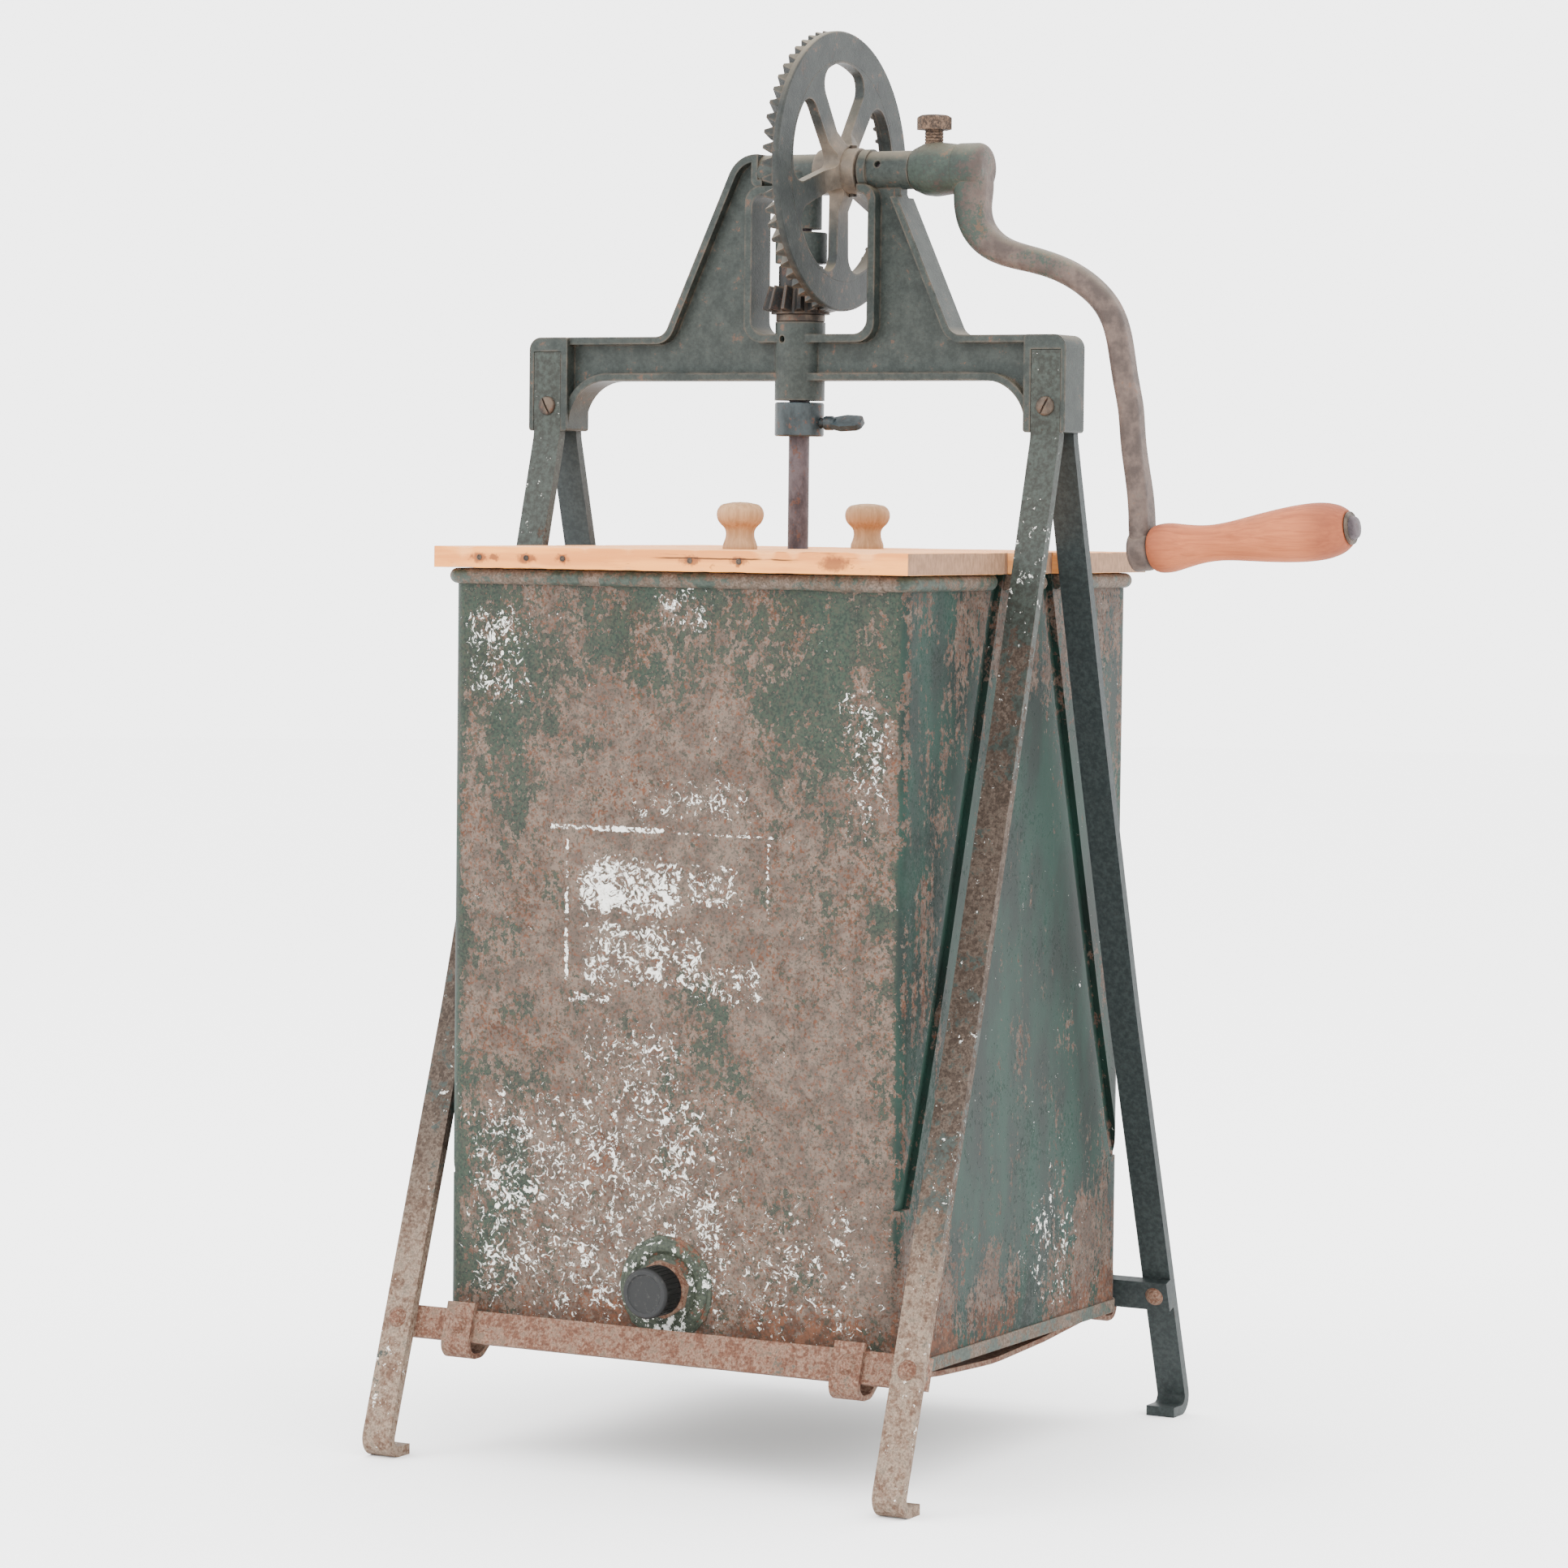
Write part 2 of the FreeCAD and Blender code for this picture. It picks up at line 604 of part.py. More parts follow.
def build_crank():
    # x, z, tilt of the section (0 = horizontal cut), thickness, width
    stations = [
        (116.0, 772.0, 0, 20.5, 25.0),
        (116.3, 752.0, -4, 20.0, 24.0),
        (120.5, 738.0, -30, 18.5, 22.5),
        (131.5, 727.5, -55, 17.0, 21.0),
        (146.0, 722.0, -72, 15.8, 19.5),
        (163.0, 717.8, -74, 15.0, 18.5),
        (181.0, 711.0, -64, 14.6, 18.0),
        (197.0, 700.5, -50, 14.2, 17.5),
        (208.5, 686.5, -32, 13.9, 17.0),
        (214.5, 668.0, -16, 13.6, 17.0),
        (218.8, 645.0, -11, 13.3, 17.0),
        (223.0, 618.0, -9.5, 13.0, 17.0),
        (227.2, 590.0, -8.5, 12.6, 18.0),
        (230.0, 565.0, -7, 12.4, 20.0),
        (231.2, 551.0, -6.5, 12.2, 20.0),
    ]
    wires = [crank_section(*s) for s in stations]
    arm = Part.makeLoft(wires, True, False)
    boss = lathe([(0, CRANK_IN, 0), (12.6, CRANK_IN, 1.0), (15.6, 85.0, 4.0), (16.4, 92.0, 12.0), (15.2, 102.0, 4.0), (14.0, 112.0, 6.0), (0, 112.0, 0)], "x")
    boss.translate(V(0, 0, AXIS_Z))
    head = lathe([(0, 104.0, 0), (15.2, 104.0, 5.0), (15.2, 126.3, 6.5), (0, 126.3, 0)], "x")
    head.translate(V(0, 0, AXIS_Z))
    eye = lathe([(0, -6.4, 0), (12.2, -6.4, 2.5), (12.2, 6.4, 2.5), (0, 6.4, 0)], "x")
    eye.rotate(V(0, 0, 0), V(0, 1, 0), -GRIP_TILT)
    eye.translate(V(GRIP_X, 0, AXIS_Z - CRANK_THROW))
    body = fuse([arm, boss, head, eye])
    body = body.cut(cyl(SHAFT_R, CRANK_OUT - 4.0 - 60.0, V(60.0, 0, AXIS_Z), V(1, 0, 0)))
    return body


SCREW_X = 89.6
crank_screw_hole = cyl(5.6, 30.0, V(SCREW_X, 0, AXIS_Z), V(0, 0, 1))
grip_axis = V(math.cos(math.radians(GRIP_TILT)), 0, math.sin(math.radians(GRIP_TILT)))
grip_pivot = V(GRIP_X, 0, AXIS_Z - CRANK_THROW)
spindle_hole = cyl(4.0, 20.0, grip_pivot - grip_axis * 10.0, grip_axis)
crank = build_crank().cut(crank_screw_hole).cut(spindle_hole)
save("crank_arm", crank)

head_z = AXIS_Z + 23.6
flats = [
    (10.9 * math.cos(math.radians(60 * k + 12)), 10.9 * math.sin(math.radians(60 * k + 12)), 0.8)
    for k in range(6)
]
hexagon = prism_z(flats, head_z, head_z + 8.7)
dome = lathe([(0, head_z, 0), (11.5, head_z, 0), (11.5, head_z + 6.6, 3), (8.0, head_z + 8.7, 2), (0, head_z + 8.7, 0)])
set_screw = fuse([
    hexagon.common(dome),
    lathe([(0, AXIS_Z + SHAFT_R, 0), (5.6, AXIS_Z + SHAFT_R, 0), (5.6, head_z + 0.5, 0), (0, head_z + 0.5, 0)]),
])
grooves = []
for k in range(4):
    zc = AXIS_Z + 16.6 + 1.9 * k
    grooves.append(lathe([(5.0, zc, 0), (6.5, zc - 0.7, 0), (6.5, zc + 0.7, 0)]))
set_screw = set_screw.cut(Part.makeCompound(grooves))
set_screw.translate(V(SCREW_X, 0, 0))
save("crank_set_screw", set_screw)


def along_grip(shape):
    """Local X axis (from the crank eye outward) to the tilted grip axis."""
    shape.rotate(V(0, 0, 0), V(0, 1, 0), -GRIP_TILT)
    shape.translate(grip_pivot)
    return shape


def smooth_lathe(points, ends):
    """Body turned about X through (radius, x) points; ends close it to the inner radius."""
    curve = Part.BSplineCurve()
    curve.interpolate([V(x, r, 0) for r, x in points])
    inner = ends
    a = V(points[0][1], points[0][0], 0)
    b = V(points[-1][1], points[-1][0], 0)
    a0 = V(points[0][1], inner, 0)
    b0 = V(points[-1][1], inner, 0)
    wire = Part.Wire([Part.makeLine(a0, a), curve.toShape(), Part.makeLine(b, b0), Part.makeLine(b0, a0)])
    return Part.Face(wire).revolve(V(0, 0, 0), V(1, 0, 0), 360)


grip_profile = [
    (11.6, 6.9), (13.6, 9.5), (14.5, 14.0), (14.4, 19.0), (13.2, 26.0), (11.6, 35.0), (10.8, 44.0),
    (11.2, 54.0), (12.7, 66.0), (14.5, 79.0), (16.0, 92.0), (16.8, 104.0), (16.6, 114.0),
    (15.2, 122.0), (12.6, 128.0), (10.6, 130.4),
]
grip = smooth_lathe(grip_profile, 4.0 + RUN)
save("grip", along_grip(grip))
grip_spindle = lathe([
    (0, -8.6, 0), (6.2, -8.6, 1.2), (6.2, -6.4, 0), (4.0, -6.4, 0), (4.0, 132.6, 0), (7.2, 132.6, 0),
    (6.0, 135.8, 1.5), (0, 137.0, 0),
], "x")
save("grip_spindle", along_grip(grip_spindle))
end_washer = lathe([(4.0, 130.8, 0), (9.6, 130.8, 0.5), (9.6, 132.6, 0.5), (4.0, 132.6, 0)], "x")
save("grip_washer", along_grip(end_washer))

# ---------------------------------------------------------------- can


def channel_cutters(depth, width, top, bottom):
    """Slanting prisms that follow the legs down the +X side, front and back."""
    path = [(LEG_PATH[0][1], LEG_PATH[0][0], 0)]
    path += [(y, z, 0) for z, y in LEG_PATH[1:]]
    path += [(HEEL_Y, BAR_T / 2, 0)]
    strip = prism_x(strip_points(path, width), CAN_HALF - depth, CAN_HALF + 20)
    window = box(0, 400, -400, 400, bottom, top)
    strip = strip.common(window)
    return [strip, mirror_y(strip)]


def build_can():
    outer = prism_z(square(CAN_HALF, CAN_CORNER), CAN_BOTTOM, CAN_TOP)
    inner = prism_z(square(CAN_HALF - SHEET, CAN_CORNER - SHEET), CAN_BOTTOM - 1, CAN_TOP + 1)
    cut_out = channel_cutters(CHANNEL_D, CHANNEL_W, CAN_TOP + 2, CHANNEL_END)
    keep_in = channel_cutters(CHANNEL_D + SHEET, CHANNEL_W + 2 * SHEET, CAN_TOP + 3, CHANNEL_END - SHEET)
    for c in cut_out + [mirror_x(c) for c in cut_out]:
        outer = outer.cut(c)
    for c in keep_in + [mirror_x(c) for c in keep_in]:
        inner = inner.cut(c)
    return outer.cut(inner)


drain_hole = cyl(8.5, 30, V(0, -CAN_HALF - 15, DRAIN_Z), V(0, 1, 0))
can = build_can()
can = can.cut(drain_hole)
can = can.removeSplitter()
save("can_body", can)

bead_z = CAN_TOP - BEAD_R
bead_centre = CAN_HALF + 0.4
path_wire = rounded_wire(square(bead_centre, CAN_CORNER + 0.4))
path_wire.translate(V(0, 0, bead_z))
ring = Part.Wire([Part.makeCircle(BEAD_R, V(0, -bead_centre, bead_z), V(1, 0, 0))])
bead = path_wire.makePipeShell([ring], True, False)
bead = bead.cut(prism_z(square(CAN_HALF, CAN_CORNER), 500, 560))
notch_band = channel_cutters(30.0, CHANNEL_W + 6.0, 560, 500)
for c in notch_band + [mirror_x(c) for c in notch_band]:
    bead = bead.cut(c)
save("can_rim_bead", Part.makeCompound(bead.Solids))

bottom = prism_z(square(CAN_HALF - SHEET, CAN_CORNER - SHEET), CAN_BOTTOM + 6.5, CAN_BOTTOM + 7.5)
save("can_bottom", bottom)
hem = prism_z(square(CAN_HALF + HEM_T, CAN_CORNER + HEM_T), CAN_BOTTOM, CAN_BOTTOM + HEM_H)
hem = hem.cut(prism_z(square(CAN_HALF, CAN_CORNER), CAN_BOTTOM - 1, CAN_BOTTOM + HEM_H + 1))
save("can_hem_band", hem)


# drain: raised plate, threaded neck, clamp ring, ribbed cap (local Z points out of the front face)
def out_front(shape):
    shape.rotate(V(0, 0, 0), V(1, 0, 0), 90)
    shape.translate(V(0, -CAN_HALF, DRAIN_Z))
    return shape


plate = lathe([
    (8.5, 0, 0), (29.0, 0, 0), (28.0, 1.6, 1.0), (25.5, 3.2, 1.5), (22.5, 3.2, 1.5),
    (20.0, 1.4, 1.5), (17.5, 1.4, 0), (15.5, 2.6, 0.6), (12.0, 2.6, 0), (8.5, 2.6, 0),
])
save("drain_plate", out_front(plate))
neck = lathe([(7.0, -4.0, 0), (8.5, -4.0, 0), (8.5, 2.6, 0), (12.0, 2.6, 0), (12.0, 20.5, 0.8), (7.0, 20.5, 0.5)])
threads = [lathe([(11.3, h, 0), (12.6, h - 0.8, 0), (12.6, h + 0.8, 0)]) for h in (10.5, 12.7, 14.9, 17.1, 19.3)]
neck = neck.cut(Part.makeCompound(threads))
save("drain_neck", out_front(neck))
ring_pts = [
    (17.2 * math.cos(math.radians(45 * k + 10)), 17.2 * math.sin(math.radians(45 * k + 10)), 2.0)
    for k in range(8)
]
clamp_ring = prism_z(ring_pts, 2.6, 7.6).cut(cyl(12.0, 20, V(0, 0, 0), V(0, 0, 1)))
save("drain_clamp_ring", out_front(clamp_ring))
cap = lathe([
    (0, 21.6, 0), (12.4, 21.6, 0), (12.4, 8.2, 0), (14.9, 8.2, 0.4), (14.9, 24.6, 0), (13.6, 26.4, 0.8),
    (11.5, 26.4, 0.4), (11.0, 25.6, 0.4), (0, 25.6, 0),
])
ribs = []
for k in range(30):
    a = math.radians(12 * k)
    ribs.append(cyl(0.55, 14.2, V(15.0 * math.cos(a), 15.0 * math.sin(a), 9.2), V(0, 0, 1)))
cap = cap.cut(Part.makeCompound(ribs))
save("drain_cap", out_front(cap))

# ---------------------------------------------------------------- lid halves


def build_lid_half():
    """Front half: board with the shaft half-hole and leg notches."""
    gap = 0.3
    board = prism_z(
        [(-LID_HALF_X, -LID_HALF_Y, 1.5), (LID_HALF_X, -LID_HALF_Y, 1.5), (LID_HALF_X, -gap, 0.5),
         (-LID_HALF_X, -gap, 0.5)],
        LID_BOTTOM, LID_BOTTOM + LID_T,
    )
    edges = [e for e in board.Edges if abs(e.BoundBox.ZMin - e.BoundBox.ZMax) < 1e-6
             and e.BoundBox.ZMin > LID_BOTTOM + 1]
    board = board.makeFillet(0.6, edges)
    board = board.cut(cyl(9.0, 40, V(0, 0, LID_BOTTOM - 10), V(0, 0, 1)))
    for s in (-1, 1):
        xa, xb = sorted((s * (LID_HALF_X - 6.0), s * (LID_HALF_X + 10)))
        board = board.cut(box(xa, xb, -39.0, -22.0, LID_BOTTOM - 5, LID_BOTTOM + 30))
    board = board.cut(cyl(2.0, 40, V(KNOB_X, -KNOB_Y, LID_BOTTOM - 10), V(0, 0, 1)))
    return board


def build_knob():
    z0 = LID_BOTTOM + LID_T
    pts = [(10.2, 0.0), (10.3, 2.2), (9.2, 5.5), (8.5, 9.0), (9.4, 12.5), (12.2, 15.5), (13.9, 19.0),
           (13.9, 22.5), (12.2, 25.6), (9.0, 27.2)]
    curve = Part.BSplineCurve()
    curve.interpolate([V(r, 0, z) for r, z in pts])
    foot = Part.makeLine(V(0, 0, 0), V(10.2, 0, 0))
    crown = [Part.makeLine(V(9.0, 0, 27.2), V(4.6, 0, 28.0)), Part.makeLine(V(4.6, 0, 28.0), V(0, 0, 28.2))]
    axis = Part.makeLine(V(0, 0, 28.2), V(0, 0, 0))
    knob = Part.Face(Part.Wire([foot, curve.toShape()] + crown + [axis])).revolve(V(0, 0, 0), V(0, 0, 1), 360)
    knob = knob.cut(cyl(2.0, 16.0, V(0, 0, -1), V(0, 0, 1)))
    knob.translate(V(KNOB_X, -KNOB_Y, z0))
    return knob


def build_knob_screw():
    z0 = LID_BOTTOM
    s = lathe([(0, z0 - 2.4, 0), (4.2, z0 - 1.8, 0), (4.4, z0, 0), (2.0, z0, 0), (2.0, z0 + 26.0, 0), (0, z0 + 27.5, 0)])
    s = s.cut(box(-0.5, 0.5, -6, 6, z0 - 3, z0 - 1.4))
    s.translate(V(KNOB_X, -KNOB_Y, 0))
    return s


def build_cleats():
    """Two battens under each half, screwed across the grain and clear of the can walls."""
    out = []
    for s in (-1, 1):
        out.append(prism_z(
            [(s * 112.0 - 11, -143.0, 1), (s * 112.0 + 11, -143.0, 1), (s * 112.0 + 11, -14.0, 1),
             (s * 112.0 - 11, -14.0, 1)],
            LID_BOTTOM - 12.0, LID_BOTTOM,
        ))
    return Part.makeCompound(out)


lid_front = build_lid_half()
for sign, label in ((1, "front"), (-1, "back")):
    parts = {
        "board": lid_front,
        "knob": build_knob(),
        "knob_screw": build_knob_screw(),
        "cleats": build_cleats(),
    }
    for piece, shape in parts.items():
        save("lid_%s_%s" % (label, piece), shape if sign > 0 else mirror_y(shape))

# ---------------------------------------------------------------- dasher

dasher_foot = CAN_BOTTOM + 7.5 + 4.0
dasher_shaft = lathe([
    (0, dasher_foot, 0), (2.0, dasher_foot, 0), (ROD_R, dasher_foot + 4.0, 0), (ROD_R, 624.4, 0), (0, 624.4, 0),
])
HUB_Z = (118.0, 392.0)
ARM_LEN = 116.0
pins = []
hubs = []
for zc in HUB_Z:
    hub = lathe([(ROD_R, zc - 14, 0), (17.0, zc - 14, 1.5), (17.0, zc + 14, 1.5), (ROD_R, zc + 14, 0)])
    hole = cyl(2.5, 60, V(-30 * 0.7071, -30 * 0.7071, zc), V(0.7071, 0.7071, 0))
    pins.append(cyl(2.5, 36.0, V(-18 * 0.7071, -18 * 0.7071, zc), V(0.7071, 0.7071, 0)))
    hubs.append(hub.cut(hole))
    dasher_shaft = dasher_shaft.cut(hole)
save("dasher_shaft", dasher_shaft)
save("dasher_hubs", Part.makeCompound(hubs))
save("dasher_hub_pins", Part.makeCompound(pins))

arms = []
blades = []
bolts = []
for k in range(4):
    turn = 90 * k
    for zc in HUB_Z:
        arm = box(15.5, ARM_LEN, -5.0, 5.0, zc - 10.0, zc + 10.0)
        arm = arm.cut(cyl(17.0, 40, V(0, 0, zc - 20), V(0, 0, 1)))
        hole = cyl(2.5, 60, V(96.0, -30, zc), V(0, 1, 0))
        arm = arm.cut(hole)
        arm.rotate(V(0, 0, 0), V(0, 0, 1), turn)
        arms.append(arm)
        bolt = rivet(V(96.0, 4.5, zc), V(0, 1, 0), 19.0, 2.5, 5.0, 2.2)
        bolt.rotate(V(0, 0, 0), V(0, 0, 1), turn)
        bolts.append(bolt)
    blade = prism_y(
        [(76.0, HUB_Z[0] - 16, 4), (ARM_LEN + 4.0, HUB_Z[0] - 16, 10), (ARM_LEN + 4.0, HUB_Z[1] + 16, 10),
         (76.0, HUB_Z[1] + 16, 4)],
        5.0, 14.0,
    )
    for zc in HUB_Z:
        blade = blade.cut(cyl(2.5, 60, V(96.0, -30, zc), V(0, 1, 0)))
    for zh in (160.0, 205.0, 255.0, 305.0, 350.0):
        blade = blade.cut(cyl(9.0, 60, V(97.0, -30, zh), V(0, 1, 0)))
    blade.rotate(V(0, 0, 0), V(0, 0, 1), turn)
    blades.append(blade)
save("dasher_arms", Part.makeCompound(arms))
save("dasher_blades", Part.makeCompound(blades))
save("dasher_blade_rivets", Part.makeCompound(bolts))

cup_base = CAN_BOTTOM + 7.5
cup = lathe([
    (0, cup_base, 0), (24.0, cup_base, 0), (24.0, cup_base + 2.5, 1.0), (12.0, cup_base + 2.5, 2.0),
    (12.0, cup_base + 16.0, 1.5), (ROD_R + RUN, cup_base + 16.0, 0), (ROD_R + RUN, cup_base + 3.6, 0),
    (0, cup_base + 3.6, 0),
])
save("pivot_cup", cup)
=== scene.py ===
# %% [markdown]
# # A hand-cranked can butter churn, finished in Blender
#
# The churn is a square sheet-metal can that hangs in a frame of flat iron bars. A cast bridge
# joins the tops of the legs and carries a hand crank, a bevel wheel and a small pinion that
# spins the wooden dasher inside the can. The shapes and sizes come from a CAD model that is
# loaded as a fixed frame. In this lesson we give every part of it the finish that many years
# in a barn leave on it, and we remake the parts whose wear changes their shape.

# %% Load the fixed frame
import json
import math

import bpy
from mathutils import Matrix, Vector, noise

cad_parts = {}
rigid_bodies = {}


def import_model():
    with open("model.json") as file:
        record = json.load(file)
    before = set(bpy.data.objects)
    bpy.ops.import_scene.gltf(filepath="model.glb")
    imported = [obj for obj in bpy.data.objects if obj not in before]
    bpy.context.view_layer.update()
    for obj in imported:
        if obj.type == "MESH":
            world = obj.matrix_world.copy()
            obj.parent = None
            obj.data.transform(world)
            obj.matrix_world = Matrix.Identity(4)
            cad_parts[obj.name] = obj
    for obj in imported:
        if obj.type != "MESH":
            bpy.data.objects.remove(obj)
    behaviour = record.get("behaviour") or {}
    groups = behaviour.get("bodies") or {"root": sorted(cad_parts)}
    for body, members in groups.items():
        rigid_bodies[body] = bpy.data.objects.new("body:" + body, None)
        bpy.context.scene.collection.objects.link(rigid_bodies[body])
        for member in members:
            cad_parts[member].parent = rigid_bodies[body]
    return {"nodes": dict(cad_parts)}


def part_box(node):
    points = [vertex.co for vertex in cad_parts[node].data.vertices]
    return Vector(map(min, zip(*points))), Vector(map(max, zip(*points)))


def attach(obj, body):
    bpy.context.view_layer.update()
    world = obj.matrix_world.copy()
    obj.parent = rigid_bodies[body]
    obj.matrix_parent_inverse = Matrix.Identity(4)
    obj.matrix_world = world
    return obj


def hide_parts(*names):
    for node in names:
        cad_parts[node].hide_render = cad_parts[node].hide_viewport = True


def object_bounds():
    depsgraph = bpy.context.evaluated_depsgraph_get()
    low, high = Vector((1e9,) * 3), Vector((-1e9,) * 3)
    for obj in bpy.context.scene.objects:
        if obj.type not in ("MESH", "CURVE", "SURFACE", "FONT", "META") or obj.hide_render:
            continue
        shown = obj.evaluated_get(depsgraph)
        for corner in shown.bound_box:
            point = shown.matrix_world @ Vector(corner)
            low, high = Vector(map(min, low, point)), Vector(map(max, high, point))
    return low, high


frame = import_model()
cad_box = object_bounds()
nodes = frame["nodes"]
AXIS_X = -0.09106  # the dasher axis; the frame's origin is under the middle of the overall width
SHAFT_Z = 0.7744  # height of the drive shaft
DRAIN_Z = 0.111  # height of the drain
WALL_Y = -0.1524  # the can's front wall
cad_box_mm = [[round(v * 1000) for v in corner] for corner in cad_box]
print("CAD nodes:", len(nodes), "box in mm:", cad_box_mm)

# %% [markdown]
# ## Camera, floor and light
#
# A catalogue picture of such a churn is taken from a few steps away with a long lens, so that
# its upright lines stay nearly parallel. The camera stands at knee height, a little to the
# right of the front. We build its turn from three plain angles, so each can be read and changed.

# %% Camera
TURN = math.radians(28.44)
DIP = math.radians(3.21)
ROLL = math.radians(0.67)
LENS_MM = 113.96
SENSOR_MM = 36.0

ahead = Vector((-math.sin(TURN) * math.cos(DIP), math.cos(TURN) * math.cos(DIP), -math.sin(DIP)))
level_right = Vector((math.cos(TURN), math.sin(TURN), 0.0))
level_up = level_right.cross(ahead)
right = math.cos(ROLL) * level_right + math.sin(ROLL) * level_up
up = -math.sin(ROLL) * level_right + math.cos(ROLL) * level_up

bpy.ops.object.camera_add(location=(AXIS_X + 1.440, -2.673, 0.572))
camera = bpy.context.object
camera.name = "catalogue_camera"
camera.rotation_euler = Matrix((right, up, -ahead)).transposed().to_euler()
camera.data.lens = LENS_MM
camera.data.sensor_width = SENSOR_MM
camera.data.clip_end = 50.0
bpy.context.scene.camera = camera
print("camera stands", round((camera.location - Vector((0, 0, 0.4))).length, 2), "m away")

# %% [markdown]
# The churn stands on a wide pale floor, in the light of large soft boxes. A big lamp throws a
# soft-edged shadow, and a bright surrounding world fills that shadow in, so the dark iron stays
# readable. The key lamp is high on the left of the camera and the fill is on the right.

# %% Floor and lamps
bpy.ops.mesh.primitive_circle_add(vertices=96, radius=9.0, fill_type="NGON", location=(0, 0, 0))
floor = bpy.context.object
floor.name = "studio_floor"

ROOM_LIGHT = 4.4
world = bpy.data.worlds.new("bright_room")
bpy.context.scene.world = world
world.use_nodes = True
world.node_tree.nodes["Background"].inputs["Color"].default_value = (1.0, 1.0, 1.0, 1.0)
world.node_tree.nodes["Background"].inputs["Strength"].default_value = ROOM_LIGHT


def soft_box(name, place, aim, width, watts):
    """A square lamp at a place, turned to face a point."""
    bpy.ops.object.light_add(type="AREA", location=place)
    lamp = bpy.context.object
    lamp.name = name
    lamp.data.size = width
    lamp.data.energy = watts
    lamp.rotation_euler = (Vector(aim) - Vector(place)).to_track_quat("-Z", "Y").to_euler()
    return lamp


soft_box("key_box", (-2.0, -2.6, 2.5), (AXIS_X, 0, 0.4), 1.6, 62.0)
soft_box("fill_box", (2.9, -1.3, 1.5), (AXIS_X, 0, 0.4), 1.8, 8.0)
soft_box("top_box", (0.2, 0.8, 3.0), (AXIS_X, 0, 0.5), 2.0, 34.0)

# %% [markdown]
# ## A way to write materials as sums
#
# A worn finish is many thin layers: bare metal, rust, primer, paint, dirt. Each layer has a mask
# that says where it shows. Masks are sums and products of noise, so we make one small class that
# holds a socket and adds a Math node whenever it meets a plus, a minus or a times sign. After
# that a material reads like a recipe.


# %% The socket that can do sums
class Wire:
    """One output socket. Arithmetic on it adds Math nodes."""

    def __init__(self, tree, socket):
        self.tree = tree
        self.socket = socket

    def add(self, kind, inputs, out=0, stops=None, **settings):
        """Adds a node: its type, its settings, then values or links for its sockets."""
        made = self.tree.nodes.new("ShaderNode" + kind)
        for name, value in settings.items():
            setattr(made, name, value)
        if stops:
            while len(made.color_ramp.elements) < len(stops):
                made.color_ramp.elements.new(1.0)
            for element, (spot, colour) in zip(made.color_ramp.elements, stops):
                element.position = spot
                element.color = colour
        for name, value in inputs.items():
            if isinstance(value, Wire):
                self.tree.links.new(value.socket, made.inputs[name])
            else:
                made.inputs[name].default_value = value
        return Wire(self.tree, made.outputs[out])

    def maths(self, operation, first, second=0.0):
        return self.add("Math", {0: first, 1: second}, operation=operation)

    def __add__(self, other):
        return self.maths("ADD", self, other)

    def __radd__(self, other):
        return self.maths("ADD", other, self)

    def __sub__(self, other):
        return self.maths("SUBTRACT", self, other)

    def __rsub__(self, other):
        return self.maths("SUBTRACT", other, self)

    def __mul__(self, other):
        return self.maths("MULTIPLY", self, other)

    def __rmul__(self, other):
        return self.maths("MULTIPLY", other, self)

    def __neg__(self):
        return self.maths("MULTIPLY", self, -1.0)

    def size(self):
        return self.maths("ABSOLUTE", self)

    def most(self, other):
        return self.maths("MAXIMUM", self, other)

    def least(self, other):
        return self.maths("MINIMUM", self, other)

    def step(self, low, high):
        """0 below low, 1 above high, and a soft ramp between; low may be the larger."""
        return self.add(
            "MapRange",
            {"Value": self, "From Min": low, "From Max": high},
            interpolation_type="SMOOTHSTEP",
        )

    def inside(self, low, high, soft):
        """1 between low and high, with soft ends."""
        return self.step(low - soft, low + soft) * self.step(high + soft, high - soft)


DIM = 0.36  # the white room is bright, so the listed colours are lowered by this much
GLOSS = 0.18  # old paint and rust mirror little of the room


def tone(red, green, blue, light=DIM):
    """A colour given on a 0-255 scale, as linear light."""
    shares = [value / 255.0 for value in (red, green, blue)]
    linear = [s / 12.92 if s <= 0.04045 else ((s + 0.055) / 1.055) ** 2.4 for s in shares]
    return tuple(light * value for value in linear) + (1.0,)


# %% [markdown]
# Every finish starts from the same handful of things: where the point is, which way the surface
# faces, noise of a chosen size in millimetres, and the Principled shader at the end. The Finish
# class keeps them together. All noise reads Object coordinates, so a pattern keeps its real
# size and never slides when a part turns.


